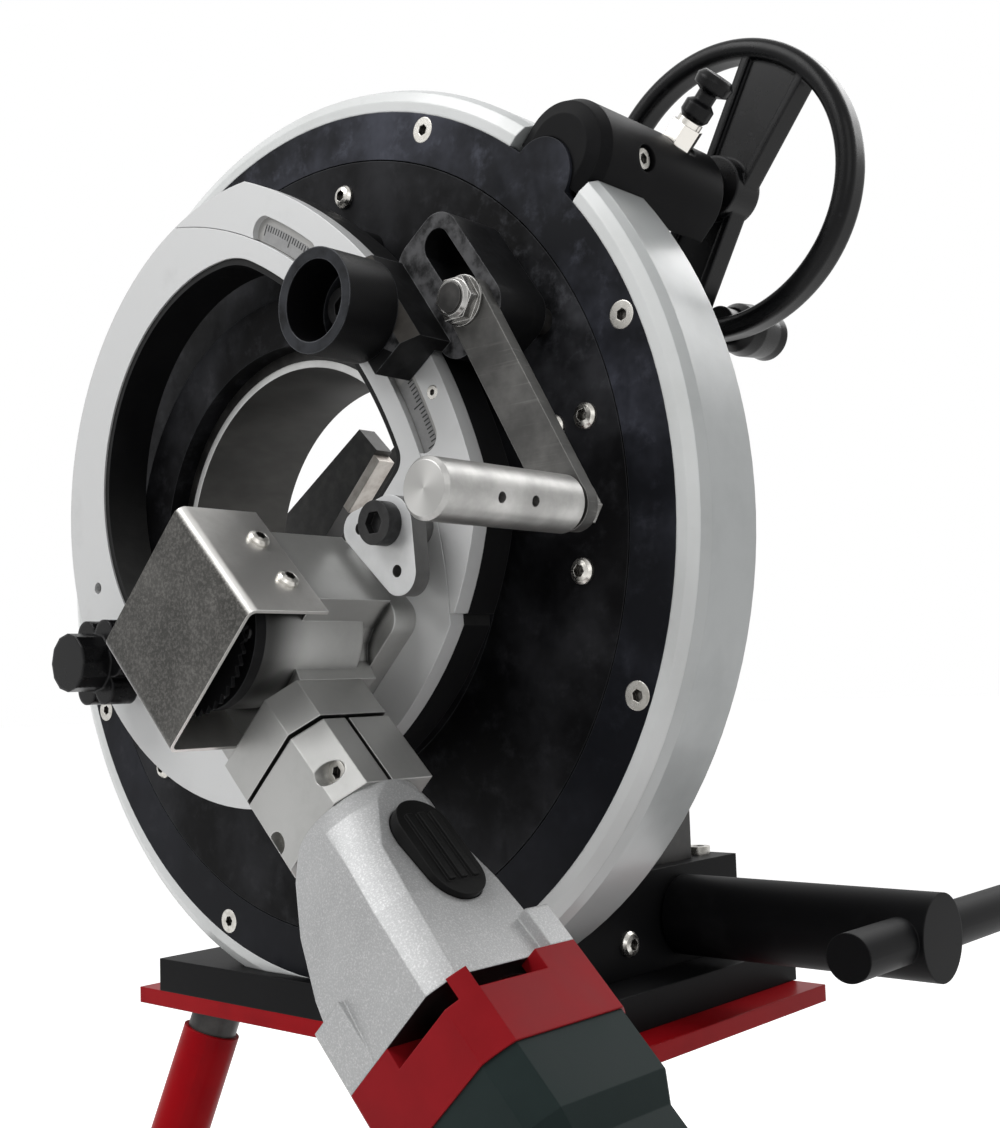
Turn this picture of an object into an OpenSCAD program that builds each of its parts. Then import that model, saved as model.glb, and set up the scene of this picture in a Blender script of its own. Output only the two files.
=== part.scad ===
// Orbital pipe cutter on a stand. The pipe axis is Y, the origin is on it in the ring's front plane.
// X is to the right seen from the front, +Y is the back, Z is up. All sizes are in mm.

/* [Ring and rotor] */
// Radial wall of the ring housing
ring_wall = 12; // [9:0.5:14]
// Width of the ledge that carries the retaining ring
land_w = 12.5; // [11:0.25:15]
// Depth of the ring housing along the pipe axis
ring_depth = 42; // [40:1:50]
// Thickness of the cover that closes the ring from behind
cover_t = 8; // [5:0.5:10]
// Thickness of the retaining ring
retainer_t = 5; // [4:0.5:7]
// Radius of the rotor's front face
rotor_r = 185; // [170:0.5:200]
// Radius of the lobe on the retaining ring
lobe_r = 16.7; // [14:0.1:18]
// Radius of the bore the pipe passes through
bore_r = 84.5; // [80:0.5:86]
// Wall of the bore sleeve
sleeve_wall = 3.5; // [2.5:0.1:5]
// How far the sleeve stands out in front of the ring
sleeve_out = 13; // [5:0.5:20]
// How far the rotor's hub stands out in front of the ring
hub_h = 22; // [20:0.5:26]

/* [Orbit drive] */
// Distance of the ring gear's pitch circle outside the rotor's face
gear_out = 17.5; // [16:0.25:18]
// Face width of the ring gear
gear_t = 10; // [7:0.5:12]
// Radius of the pinion shaft
shaft_r = 7; // [6:0.25:8]
// Half width of the pinion housing
housing_r = 23.5; // [22:0.5:26]
// Depth of the pinion housing along the pipe axis
housing_d = 92; // [88:1:110]
// How far the handwheel's shaft lies outside the pinion's axis
wheel_off = 11; // [9:0.25:11]
// Outer radius of the handwheel
wheel_r = 72; // [65:1:85]
// Width of the handwheel's rim along its axis
wheel_rim = 16; // [12:0.5:20]
// Length of the revolving grip
grip_l = 38; // [30:1:70]
// Radius of the indexing plunger's pull knob
pull_r = 7; // [6:0.5:9]

/* [Swing carriage] */
// Swing pivot, distance left of the pipe axis
pivot_left = 87; // [84:0.5:90]
// Swing pivot, distance below the pipe axis
pivot_down = 53; // [50:0.5:56]
// Radius of the round outline of the silver face
plate_r = 146; // [143:0.5:149]
// Height of that outline's centre above the pipe axis
plate_up = 23; // [20:0.5:26]
// Thickness of the silver face
face_t = 8; // [6:0.5:10]
// Thickness of the black body behind the face
backing_t = 15.7; // [14:0.1:18]
// Distance of the sliding edge from the pipe axis, away from the pivot
edge_out = 114.1; // [108:0.1:120]
// Width of the guide band
band_w = 24; // [22:0.5:25]
// Radius of the large hole in the swing plate
hole_r = 99; // [95:0.5:100]

/* [Feed and clamp] */
// Direction of the feed block from the pivot, degrees
feed_turn = 34.5; // [34:0.1:35]
// Width of the feed block
block_w = 47; // [40:0.5:50]
// Outer radius of the push knob
knob_r = 21.3; // [18:0.1:22]
// Height of the push knob
knob_h = 26; // [20:0.5:32]
// Length of the clamp lever between its two centres
lever_l = 100; // [90:1:110]
// Direction of the clamp lever, degrees below level
lever_down = 60.8; // [50:0.1:65]
// Thickness of the clamp lever
lever_t = 6; // [5:0.25:7]
// Radius of the lever's handle
handle_r = 11; // [9:0.25:13]
// Length of the lever's handle
handle_l = 74; // [60:1:90]

/* [Gear head and motor] */
// Distance of the blade axis from the pipe axis along the motor's direction
blade_a = 80.6; // [79:0.1:82]
// Distance of the blade axis to the side of that line
blade_n = 16; // [15.5:0.1:16.5]
// Radius of the saw blade
blade_r = 33.5; // [31:0.25:33.5]
// Height of the gear head in front of the silver face
head_h = 70; // [68:0.5:74]
// Sheet thickness of the blade guard
sheet_t = 1.5; // [1:0.1:2]
// Length of the split clamp neck
neck_l = 54; // [50:0.5:60]
// Radius over the rounded corners of the motor's collar
case_r = 45.9; // [44:0.1:50]
// Length of the motor body
body_l = 133; // [110:1:150]

/* [Vise] */
// Length of the vise bed
bed_w = 230; // [220:1:240]
// Height of the vise bed
bed_h = 47; // [44:0.5:52]
// Travel of each vise jaw
jaw_travel = 60; // [40:1:60]
// Radius of the clamp spindle's tube
tube_r = 19; // [16:0.5:22]
// Length of the clamp spindle's tube
tube_l = 132; // [110:1:150]
// Radius of the tommy bar
bar_r = 10; // [8:0.25:12]

/* [Base and stand] */
// Depth of the flat cut that lets the ring stand on the base plate
foot_cut = 12.5; // [8:0.5:14]
// Width of the base plate
base_w = 264; // [250:1:290]
// Thickness of the base plate
base_t = 16.5; // [12:0.5:20]
// Depth of the base plate
base_d = 198; // [190:1:210]
// Thickness of the stand plate
stand_t = 8; // [6:0.5:12]
// Outer radius of a leg
leg_r = 14.5; // [12:0.25:17]
// Height of the stand under its plate
leg_h = 360; // [340:5:420]
// Splay of a leg, degrees
leg_splay = 19; // [8:0.5:24]

/* [Hidden] */
$fn = 96;
gap = 0.3;
fit = 0.05;
head_tilt = 45;

// Levels through the ring, from its front plane to the back
flange_y = retainer_t + 1;
rotor_back = flange_y + 8;
gear_back = rotor_back + gear_t;
cover_y = ring_depth - cover_t;
washer_y = cover_y - 2;
hub_back = washer_y - gap;
flange_r = rotor_r + 9;
ledge_r = flange_r + 1.5;
wall_r = ledge_r + land_w;
ring_r = wall_r + ring_wall;
axis_height = ring_r - foot_cut;
sleeve_r = bore_r + sleeve_wall;
bush_r = sleeve_r + 6;
hub_r = edge_out + 4;
hub_y = -hub_h;
retain_screw_r = (ledge_r + wall_r) / 2 - 1;

// Gears of the orbit drive
ring_teeth = 162;
pinion_teeth = 13;
gear_module = 2 * (rotor_r + gear_out) / ring_teeth;
pinion_n = gear_module * (ring_teeth + pinion_teeth) / 2;
pinion_tip = gear_module * (pinion_teeth / 2 + 0.75);
housing_y = 1.5;
housing_back = housing_y + housing_d;
housing_foot = wall_r + 1.5;
lobe_n = pinion_n - 13.25;
rim_w = 10;

// Reduction between the handwheel's shaft and the pinion's shaft
cup_teeth = 33;
wheel_teeth = 11;
wheel_module = 2 * wheel_off / (cup_teeth - wheel_teeth);
cup_r = wheel_module * (cup_teeth / 2 + 3);
cup_y = housing_back - 35.5;
cup_back = cup_y + 17;
plunger_y = cup_y + 10;
plunger_n = pinion_n + housing_r - 2;
wheel_n = pinion_n + wheel_off;
wheel_y = housing_back + wheel_rim / 2 + 17.5;
grip_at = wheel_r - rim_w / 2 - 4;

// Levels and centres of the swing carriage
pivot_x = -pivot_left;
pivot_z = -pivot_down;
split_r = edge_out + sqrt(pivot_left * pivot_left + pivot_down * pivot_down);
backing_back = hub_y - gap;
face_back = backing_back - backing_t;
face_y = face_back - face_t;
band_r = split_r + band_w;
stud_r = 7;
knob_y = face_y - 10;

// Feed block, slotted arm, clamp stud and lever
block_in = split_r + 8;
foot_in = split_r - 10;
block_out = band_r + 8;
block_y = face_y - 20;
arm_y = face_y + 4;
arm_back = hub_y + 8;
block_v = 1.5;
slot_u = block_out + 18.6;
slot_low = -20;
slot_high = 16;
arm_out = slot_u + 13.4;
slot_r = 7;
clamp_r = 6;
clamp_turn = feed_turn - 4.1;
clamp_x = pivot_x + slot_u * cos(clamp_turn) / cos(4.1);
clamp_z = pivot_z + slot_u * sin(clamp_turn) / cos(4.1);
lever_back = arm_y - gap;
lever_y = lever_back - lever_t;
handle_x = clamp_x + lever_l * cos(lever_down);
handle_z = clamp_z - lever_l * sin(lever_down);
handle_back = lever_y - 1.7;
knob_u = block_out - 14;
knob_v = 4;

// Stop plate
stop_x = pivot_x + (split_r - 11.3) * cos(13.56);
stop_z = pivot_z + (split_r - 11.3) * sin(13.56);
stop_y = face_y - 18;

// Gear head, in the tilted frame: a along the motor, n across it
head_y = face_y - head_h;
head_a = blade_a - 19.6;
head_top = blade_n + 35;
head_low = blade_n - 48;
flat_a = blade_a + 20.4;
neck_a = blade_a + 35.4;
neck_back = neck_a + neck_l;
motor_y = face_y - 42;
motor_n = blade_n - 19.5;
cover_front = head_y - 5;
blade_t = 1.6;
blade_y = head_y - 11 - blade_t / 2;
guard_y = head_y - 20;
guard_low = blade_n - 36;
arbor_r = 6.5;
lay_teeth = 11;
arbor_teeth = 28;
gears_y = head_y + 12;
bevel_big = 12;
bevel_small = 5;

// Motor, lengths along its axis
case_a = neck_back;
collar_a = case_a + 86;
body_a = collar_a + 29;
cap_a = body_a + body_l;
cap_end = cap_a + 40;
spigot_r = 16;
spindle_r = 4.5;
case_off = [3.5, -5.5];
collar_flat = 0.8 * case_r;
grip_r = case_r - 6.4;
core_r = 0.8 * grip_r - 8.1;
switch_x = 0.8 * grip_r - case_off[0];
// Steps of the gearbox case: length, radius share, share of the way to its own middle, flat share
case_steps = [[0, 0.566, 0, 1], [9, 0.643, 0.33, 0.92], [28, 0.73, 1, 0.84], [51, 0.839, 1.25, 0.82],
  [85.8, 0.926, 1.5, 0.8]];
button_a = case_a + 36;
button_y = -4;

// Vise
base_z = -axis_height;
bed_z = base_z + bed_h;
bed_y0 = ring_depth;
bed_y1 = bed_y0 + 134;
vise_y = bed_y0 + 83;
vise_z = base_z + 23.5;
screw_r = 8;
slot_half = 24;
jaw_apex = (bore_r + 2) * sqrt(2);
jaw_set = 6 * sqrt(2);
jaw_tip = 66;
post_in = jaw_travel + 10;
post_out = bed_w / 2 - 9;
jaw_rise = 11 - vise_z - gap - jaw_tip;
tube_x = bed_w / 2 + 2;
bar_x = tube_x + tube_l - 12;

// Base and stand
plate_z = base_z - base_t;
stand_z = plate_z - stand_t;
base_y0 = -8;
stand_w = base_w + 36;
stand_d = base_d - 3;
base_x = 6.5;
leg_x = base_w / 2 - 29;
front_leg_y = base_y0 + 16;
rear_leg_y = base_y0 + base_d - 20;
floor_z = stand_z - leg_h;
leg_l = leg_h / cos(leg_splay);

// Shared helpers

// Flat outline drawn as (X, Z), extruded from y towards the front
module front_of(y) translate([0, y, 0]) rotate([90, 0, 0]) children();

// Round bar along Y between two levels
module rod(r, y0, y1) front_of(y1) cylinder(r = r, h = y1 - y0);

// Tube along Y between two levels
module pipe(r_in, r_out, y0, y1) front_of(y1) linear_extrude(y1 - y0) difference() {
  circle(r_out);
  circle(r_in);
}

// Frame of the gear head and pinion housing, tilted about the pipe axis
module head() rotate([0, head_tilt, 0]) children();

// Frame on the blade axis
module at_blade() head() translate([blade_a, 0, blade_n]) children();

// Frame on the lay shaft
module at_lay() head() translate([blade_a, 0, motor_n]) children();

// Frame on the motor axis, its z along the motor
module at_motor() head() translate([0, motor_y, motor_n]) rotate([0, 90, 0]) children();

// Frame on the pinion's axis
module at_pinion() head() translate([0, 0, pinion_n]) children();

// Frame on the handwheel's axis
module at_wheel() head() translate([0, 0, wheel_n]) children();

// Frame on the swing pivot, x pointing outwards in the given direction
module at_pivot(turn) translate([pivot_x, 0, pivot_z]) rotate([0, -turn, 0]) children();

// Rectangle with rounded corners, centred
module rounded(w, h, r) {
  square([w - 2 * r, h], center = true);
  square([w, h - 2 * r], center = true);
  for (x = [-1, 1])
    for (y = [-1, 1])
      translate([x * (w / 2 - r), y * (h / 2 - r)]) circle(r);
}

// Part of a ring between two directions, seen from the swing pivot
module pivot_sector(r0, r1, t0, t1) translate([pivot_x, pivot_z]) intersection() {
  difference() {
    circle(r1);
    circle(r0);
  }
  polygon([[0, 0], 2 * r1 * [cos(t0), sin(t0)], 2 * r1 * [cos(t1), sin(t1)]]);
}

// Spur gear outline, a tooth at the given direction
module gear_outline(m, teeth, turn) polygon([for (i = [0 : teeth - 1])
  for (k = [[-0.30, -1.25], [-0.12, 0.75], [0.12, 0.75], [0.30, -1.25]])
    m * (teeth / 2 + k[1]) * [cos(turn + (i + k[0]) * 360 / teeth), sin(turn + (i + k[0]) * 360 / teeth)]]);

// Button-head screw on a face that looks to the front at y = 0
module button_screw(r, shank, depth) difference() {
  union() {
    front_of(0) rotate_extrude() polygon([[0, 0], [r, 0], [r, 0.25 * r], [0.8 * r, 0.5 * r],
      [0.45 * r, 0.62 * r], [0, 0.62 * r]]);
    rod(shank, -0.1, depth);
  }
  front_of(-0.2 * r) cylinder(r = 0.5 * r, h = r, $fn = 6);
}

// Countersunk screw, its head flush with a face that looks to the front at y = 0
module sunk_screw(r, depth) difference() {
  union() {
    front_of(r / 2) cylinder(r1 = r / 2, r2 = r, h = r / 2);
    rod(0.45 * r, r / 2 - 0.1, depth);
  }
  front_of(0.4 * r) cylinder(r = 0.45 * r, h = r, $fn = 6);
}

// Socket cap screw standing on a face that looks to the front at y = 0
module cap_screw(r, h, shank, depth) difference() {
  union() {
    rod(r, -h, 0);
    rod(shank, -0.1, depth);
  }
  front_of(-h / 2) cylinder(r = 0.55 * r, h = h, $fn = 6);
}

// Places of the screws in the retaining ring
module retainer_spots() for (k = [0 : 7]) rotate([0, -22.5 - 45 * k, 0])
  translate([retain_screw_r, 0, 0]) children();

// Ring housing and what is fixed to it

module ring_housing() color("gainsboro") difference() {
  union() {
    front_of(ring_depth) rotate_extrude() polygon([[wall_r, 0], [ring_r - 3, 0], [ring_r, 3],
      [ring_r, ring_depth - 7], [ring_r - 2.1, ring_depth - 2.1], [ring_r - 7, ring_depth], [wall_r, ring_depth]]);
    pipe(ledge_r, wall_r + 0.1, retainer_t, retainer_t + 6);
    translate([-70, 4, base_z]) cube([140, ring_depth - 4, ring_r - axis_height + 40]);
  }
  translate([-ring_r, -1, base_z - 60]) cube([2 * ring_r, ring_depth + 2, 60]);
  rod(wall_r - 0.01, retainer_t + 6, ring_depth + 1);
  rod(ledge_r, -1, ring_depth);
  rod(wall_r, -1, retainer_t);
  head() translate([-housing_r - 0.05, -1, wall_r - 8]) cube([2 * housing_r + 0.1, ring_depth + 2, 60]);
  retainer_spots() rod(2.71, 0, 30);
}

// Room that the base plate takes
module base_room() translate([-2 * ring_r, -ring_r, base_z - ring_r]) cube([4 * ring_r, 2 * ring_r, ring_r]);

module rear_cover() color("gainsboro") difference() {
  pipe(sleeve_r, wall_r, cover_y, ring_depth);
  base_room();
  housing_spots() rod(3, -1, 30);
}

// Places of the screws that hold the pinion housing's foot to the rear cover
module housing_spots() for (s = [-1, 1])
  head() translate([s * (housing_r + 7), ring_depth + 12, wall_r - 16]) rotate([0, 0, 180]) children();

module retaining_ring() color("#20242c") difference() {
  front_of(retainer_t) linear_extrude(retainer_t) difference() {
    union() {
      circle(wall_r);
      rotate(90 - head_tilt) translate([lobe_n, 0]) circle(lobe_r);
    }
    circle(rotor_r + 0.6);
  }
  retainer_spots() front_of(3) cylinder(r1 = 3, r2 = 6.02, h = 3.02);
  retainer_spots() rod(2.71, 0, 30);
  base_room();
}

module frame_screws() color("silver") {
  retainer_spots() sunk_screw(6, retainer_t + 5);
  for (x = [-0.43, 0.43])
    for (y = [bed_y0 + 24, bed_y1 - 10])
      translate([x * bed_w, y, bed_z]) rotate([-90, 0, 0]) cap_screw(6, 4, 3, 16);
  housing_spots() cap_screw(5, 5, 3, 16);
  pocket_spot() cap_screw(4.5, 3.5, 2.5, 6);
  bed_spot() button_screw(6, 3, 12);
}

// Place of the screw in the pocket on the pinion housing's side
module pocket_spot() at_pinion() rotate([0, 49, 0]) translate([0, ring_depth - 8, housing_r - 5.5])
  rotate([-90, 0, 0]) children();

// Place of the screw on the vise bed's end
module bed_spot() translate([bed_w / 2, bed_y0 + 39, vise_z - 8]) rotate([0, 0, 90]) children();

module bore_sleeve() color("silver") union() {
  pipe(bore_r, sleeve_r, -sleeve_out, ring_depth + 5);
  pipe(sleeve_r - 1, sleeve_r + 12, ring_depth, ring_depth + 5);
}

// Plain bearings of the frame: the rotor's thrust washer and the bushes of the drive's two shafts
module frame_bushes() color("tan") {
  pipe(sleeve_r, sleeve_r + 20, washer_y, cover_y);
  at_pinion() pipe(shaft_r + fit, shaft_r + 2, retainer_t + 1.5, rotor_back - 2);
  at_pinion() pipe(shaft_r + fit, shaft_r + 3, cup_y - 18, cup_y - 2);
  at_wheel() pipe(shaft_r + fit, shaft_r + 2, housing_back - 15, housing_back);
}

// Arch outline of the pinion housing, its foot pointing at the ring's axis
module arch_outline() union() {
  circle(housing_r);
  translate([-housing_r, -60]) square([2 * housing_r, 60]);
}

module pinion_housing() color("#1c1c1e") difference() {
  union() {
    intersection() {
      at_pinion() {
        front_of(housing_back) linear_extrude(housing_d - 7.9) arch_outline();
        front_of(housing_y + 8) linear_extrude(5.7, scale = 1 - 2.3 / housing_r) arch_outline();
        front_of(housing_y + 2.3) linear_extrude(2.3, scale = (housing_r - 8) / (housing_r - 2.3))
          scale(1 - 2.3 / housing_r) arch_outline();
      }
      head() translate([-2 * housing_r, 0, housing_foot]) cube([4 * housing_r, 2 * housing_back, 100]);
    }
    head() translate([-housing_r - 15, ring_depth, wall_r - 28]) cube([2 * housing_r + 30, 12, 30]);
    head() translate([-housing_r, ring_depth, wall_r - 28]) cube([2 * housing_r, 22, 40]);
  }
  rod(housing_foot, -1, ring_depth);
  head() translate([0, 0, lobe_n]) rod(lobe_r + gap, 0, retainer_t + gap);
  at_pinion() rod(shaft_r + 2 + fit, retainer_t + 1.5, 30);
  at_pinion() rod(pinion_tip + 1, rotor_back - 2, gear_back + 2);
  at_pinion() rod(shaft_r + 3 + fit, gear_back, cup_y);
  at_pinion() rod(cup_r + 0.5, cup_y - 1, cup_back + 1.5);
  at_wheel() rod(shaft_r + 2 + fit, cup_back, housing_back + 1);
  head() translate([0, plunger_y, pinion_n]) cylinder(r = 4, h = 60);
  head() translate([0, plunger_y, pinion_n + housing_r - 1.5]) cylinder(r = 10, h = 20);
  pocket_spot() rod(6, -20, 0);
  pocket_spot() rod(2.5, -1, 6);
  housing_spots() rod(3, -1, 30);
}

module plunger_body() color("silver") head() translate([0, plunger_y, plunger_n]) difference() {
  union() {
    translate([0, 0, 0.5]) cylinder(r = 8, h = 9.9, $fn = 6);
    translate([0, 0, 10.3]) cylinder(r = 6, h = 2.7);
    translate([0, 0, -0.6]) cylinder(r = 4, h = 1.7);
  }
  translate([0, 0, -13]) cylinder(r = 2.5 + fit, h = 40);
}

module index_plunger() color("#1c1c1e") head() translate([0, plunger_y, plunger_n]) {
  translate([0, 0, -0.4]) cylinder(r = 2.5, h = 17);
  translate([0, 0, 13 + gap]) rotate_extrude() polygon([[0, 0], [pull_r - 1.5, 0], [pull_r, 2], [pull_r, 7],
    [pull_r - 2.5, 9], [pull_r - 2.5, 13], [pull_r + 1.5, 15], [pull_r + 2, 19], [pull_r, 21.5], [0, 21.5]]);
}

// Base, vise bed and stand

module base_plate() color("#1c1c1e") translate([base_x - base_w / 2, base_y0, plate_z])
  cube([base_w, base_d, base_t]);

module vise_bed() color("#1c1c1e") difference() {
  translate([-bed_w / 2, bed_y0, base_z]) cube([bed_w, bed_y1 - bed_y0, bed_h]);
  translate([8 - bed_w / 2, vise_y - slot_half - gap, vise_z - 15])
    cube([bed_w - 16, 2 * slot_half + 2 * gap, bed_h]);
  translate([-bed_w, vise_y, vise_z]) rotate([0, 90, 0]) cylinder(r = screw_r + fit, h = 2 * bed_w);
  for (x = [-0.43, 0.43])
    for (y = [bed_y0 + 24, bed_y1 - 10])
      translate([x * bed_w, y, bed_z]) rotate([-90, 0, 0]) rod(3, -1, 16);
  bed_spot() rod(3, -1, 12);
}

module stand_plate() color("firebrick") translate([base_x - stand_w / 2, base_y0, stand_z])
  cube([stand_w, stand_d, stand_t]);

// Frames on the tops of the three legs, z pointing up along the leg
module at_legs() {
  for (s = [-1, 1])
    translate([base_x + s * leg_x, front_leg_y, stand_z]) rotate([0, 0, s * 45]) rotate([-leg_splay, 0, 0]) children();
  translate([base_x, rear_leg_y, stand_z]) rotate([leg_splay, 0, 0]) children();
}

module under_plate() intersection() {
  children();
  translate([-2000, -2000, floor_z]) cube([4000, 4000, leg_h]);
}

module leg_sockets() color("#2a2a2c") under_plate() at_legs() difference() {
  translate([0, 0, -20]) cylinder(r = leg_r - 2, h = 40);
  translate([0, 0, -40]) cylinder(r = leg_r - 5, h = 30);
}

module stand_legs() color("firebrick") at_legs() difference() {
  translate([0, 0, 14 - leg_l]) cylinder(r = leg_r, h = leg_l - 26);
  translate([0, 0, 10 - leg_l]) cylinder(r = leg_r - 2, h = leg_l);
}

module leg_feet() color("#202020") under_plate() at_legs() difference() {
  translate([0, 0, -20 - leg_l]) cylinder(r = leg_r + 4, h = 60);
  translate([0, 0, 14 - leg_l]) cylinder(r = leg_r, h = 60);
}

// Rotor and what is fixed to it

module rotor_disc() color("#20242c") difference() {
  front_of(0) rotate_extrude() polygon([[bush_r, hub_h], [hub_r, hub_h], [hub_r, 0], [rotor_r, 0],
    [rotor_r, -flange_y], [flange_r, -flange_y], [flange_r, -rotor_back], [bush_r + 16, -rotor_back],
    [bush_r + 16, -hub_back], [bush_r, -hub_back]]);
  at_pivot(0) rod(stud_r, hub_y - 1, 30);
  translate([clamp_x, 0, clamp_z]) rod(clamp_r, -1, 30);
  rotor_spots() rod(3, -1, 30);
}

module rotor_bush() color("tan") pipe(sleeve_r + fit, bush_r, 1 - sleeve_out, hub_back);

module ring_gear() color("dimgray") front_of(gear_back) linear_extrude(gear_t) difference() {
  gear_outline(gear_module, ring_teeth, 45);
  circle(rotor_r - 10);
}

// Places of the button screws on the rotor's face, as radius share and direction
module rotor_spots() for (s = [[0.913, 82], [0.919, 13], [0.827, 13.5], [0.881, -9], [0.913, 151],
    [0.913, 220], [0.913, 289]])
  rotate([0, -s[1], 0]) translate([s[0] * rotor_r, 0, 0]) children();

module rotor_screws() color("#2c2c30") {
  rotor_spots() button_screw(5.5, 3, rotor_back);
  at_pivot(26) translate([split_r + 17, face_y, 0]) sunk_screw(3, face_t);
}

// Crescent of the guide band
module band_outline() intersection() {
  translate([0, plate_up]) circle(plate_r);
  pivot_sector(split_r, band_r, 3, 88);
}

module guide_carrier() color("#1c1c1e") {
  front_of(backing_back) linear_extrude(backing_t) band_outline();
  for (t = [14, 42, 56])
    at_pivot(t) translate([split_r + 12, 0, 0]) rod(9, backing_back - 0.1, 0);
}

module guide_band() color("silver") difference() {
  front_of(face_back) linear_extrude(face_t) band_outline();
  front_of(face_y + 3) linear_extrude(4) {
    pivot_sector(split_r - 2, split_r + 12, 53, 62);
    pivot_sector(split_r - 2, split_r + 12, 22.5, 32);
    for (t = [53, 62, 22.5])
      translate([pivot_x + (split_r + 5) * cos(t), pivot_z + (split_r + 5) * sin(t)]) circle(7);
  }
  at_pivot(26) translate([split_r + 17, face_y, 0]) rod(1.36, -1, face_t + 1);
  at_pivot(26) translate([split_r + 17, face_y, 0]) front_of(1.5) cylinder(r1 = 1.5, r2 = 3.02, h = 1.52);
}

module rotor_studs() color("silver") {
  at_pivot(0) rod(stud_r, face_y, rotor_back - 2);
  at_pivot(0) rod(5, knob_y - 24, face_y + 0.1);
  translate([clamp_x, 0, clamp_z]) rod(clamp_r, lever_y - 8.5, rotor_back - 2);
}

// Swing carriage

// Round silver outline cut by the sliding edge
module swing_outline() intersection() {
  translate([0, plate_up]) circle(plate_r);
  translate([pivot_x, pivot_z]) circle(split_r - gap);
}

// Large hole, widened by the given amount
module swing_hole(more) offset(r = 9, $fn = 180) offset(delta = -9) intersection() {
  offset(r = 46, $fn = 180) offset(delta = -46) intersection() {
    union() {
      translate([-13, plate_up + 10]) circle(hole_r + more, $fn = 180);
      translate([8, plate_up - 1]) circle(hole_r + more, $fn = 180);
    }
    translate([pivot_x, pivot_z]) circle(split_r - 13 + more, $fn = 360);
  }
  rotate(-head_tilt) translate([head_a - 6 + more - 300, -300]) square([300, 600]);
}

module swing_plate() color("silver") difference() {
  front_of(face_back) linear_extrude(face_t) difference() {
    swing_outline();
    swing_hole(3);
  }
  at_pivot(0) rod(stud_r + fit, face_y - 1, face_back + 1);
  at_pivot(131) translate([52, 0, 0]) rod(3, face_y - 1, face_back + 1);
  translate([stop_x, 0, stop_z]) rod(5, face_y - 1, face_back + 1);
}

module swing_backing() color("#1c1c1e") difference() {
  union() {
    front_of(backing_back) linear_extrude(backing_t) difference() {
      swing_outline();
      swing_hole(0);
    }
    front_of(face_back + 0.1) linear_extrude(face_t - 0.9) difference() {
      swing_hole(3);
      swing_hole(0);
    }
  }
  at_pivot(0) rod(stud_r + fit, face_back - 1, hub_y + 1);
  translate([stop_x, 0, stop_z]) rod(5, face_y - 1, face_back + 8);
}

module feed_block() color("#1c1c1e") at_pivot(feed_turn) difference() {
  union() {
    translate([block_in, block_y, block_v - block_w / 2]) cube([block_out - block_in, face_y - gap - block_y, block_w]);
    translate([foot_in, block_y, 6]) cube([block_in - foot_in + 1, face_y - gap - block_y, 18]);
    translate([foot_in, block_y, 6]) cube([9, face_y - block_y, 18]);
    translate([block_out - 6, block_y, block_v - block_w / 2]) cube([6, arm_back - block_y, block_w]);
    translate([(block_out - 6 + arm_out) / 2, 0, (slot_low + slot_high) / 2]) front_of(arm_back)
      linear_extrude(arm_back - arm_y) rounded(arm_out - block_out + 6, slot_high - slot_low + 2 * slot_r + 12, 12);
  }
  translate([slot_u - slot_r, arm_y - 1, slot_low]) cube([2 * slot_r, 60, slot_high - slot_low]);
  for (v = [slot_low, slot_high])
    translate([slot_u, 0, v]) rod(slot_r, arm_y - 1, 0);
  translate([block_out, block_y, -block_w]) rotate([0, 0, 45]) cube([9, 9, 4 * block_w], center = true);
  translate([knob_u, 0, knob_v]) rod(5, block_y - 1, block_y + 12);
}

module push_knob() color("#1c1c1e") at_pivot(feed_turn) translate([knob_u, block_y - gap, knob_v]) difference() {
  rod(knob_r, -knob_h, 0);
  rod(knob_r - 4.8, -knob_h - 1, -6);
  rod(5 + fit, -10, 1);
}

module star_knob() color("#1c1c1e") at_pivot(0) translate([0, knob_y, 0]) difference() {
  union() {
    rod(15, -14, 9.7);
    for (k = [0 : 5]) rotate([0, 60 * k, 0]) translate([15, 0, 0]) rod(7.5, -14, 0);
    front_of(-14) cylinder(r = 14, h = 15, $fn = 12);
  }
  rod(5 + fit, -25, 20);
}

module stop_plate() color("silver") translate([stop_x, 0, stop_z]) difference() {
  union() {
    front_of(stop_y + 8) linear_extrude(8) {
      hull() {
        translate([1, -2]) circle(13.5);
        translate([-17.5, -0.5]) circle(7.5);
        translate([6.5, -20]) circle(9.5);
      }
    }
    rod(9, stop_y + 7.9, face_y);
  }
  rod(5, stop_y - 1, face_y + 1);
  translate([-15.5, 0, -0.5]) rod(2.5, stop_y - 1, stop_y + 9);
  translate([5.5, 0, -19.5]) rod(2.5, stop_y - 1, stop_y + 9);
}

// Gear head and blade

module gear_head() color("#c4c6c8") difference() {
  union() {
    head() front_of(face_y - 12) linear_extrude(head_h - 30) polygon([[head_a, head_top], [flat_a, head_top],
      [flat_a, blade_n + 20], [flat_a + 2, blade_n + 13], [flat_a + 6.5, blade_n + 8], [neck_a, blade_n + 6],
      [neck_a, head_low], [head_a, head_low]]);
    at_blade() rod(31, head_y, face_y - 20);
    head() translate([head_a, head_y, head_top - 8]) cube([flat_a - head_a, head_h - 12, 8]);
    head() translate([(head_a + flat_a) / 2 + 2, 0, blade_n - 7]) front_of(face_y) linear_extrude(12.1)
      rounded(flat_a - head_a + 14, 82, 9);
  }
  head() translate([blade_a - 16, head_y + 21, blade_n - 40]) cube([33.4, head_h - 35, 58]);
  at_blade() rod(27, head_y + 8, head_y + 22);
  at_blade() rod(13, head_y - 1, head_y + 10);
  at_blade() rod(11, face_y - 15, face_y - 8);
  at_lay() rod(5.5, head_y + 2, head_y + 10);
  at_lay() rod(8.3, face_y - 15, face_y - 8);
  at_motor() translate([0, 0, blade_a + 10]) cylinder(r = 8.5, h = 60);
  guard_spots() rod(2, -1, 6);
  cover_spots() rod(1.5, -1, 9);
}

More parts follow.
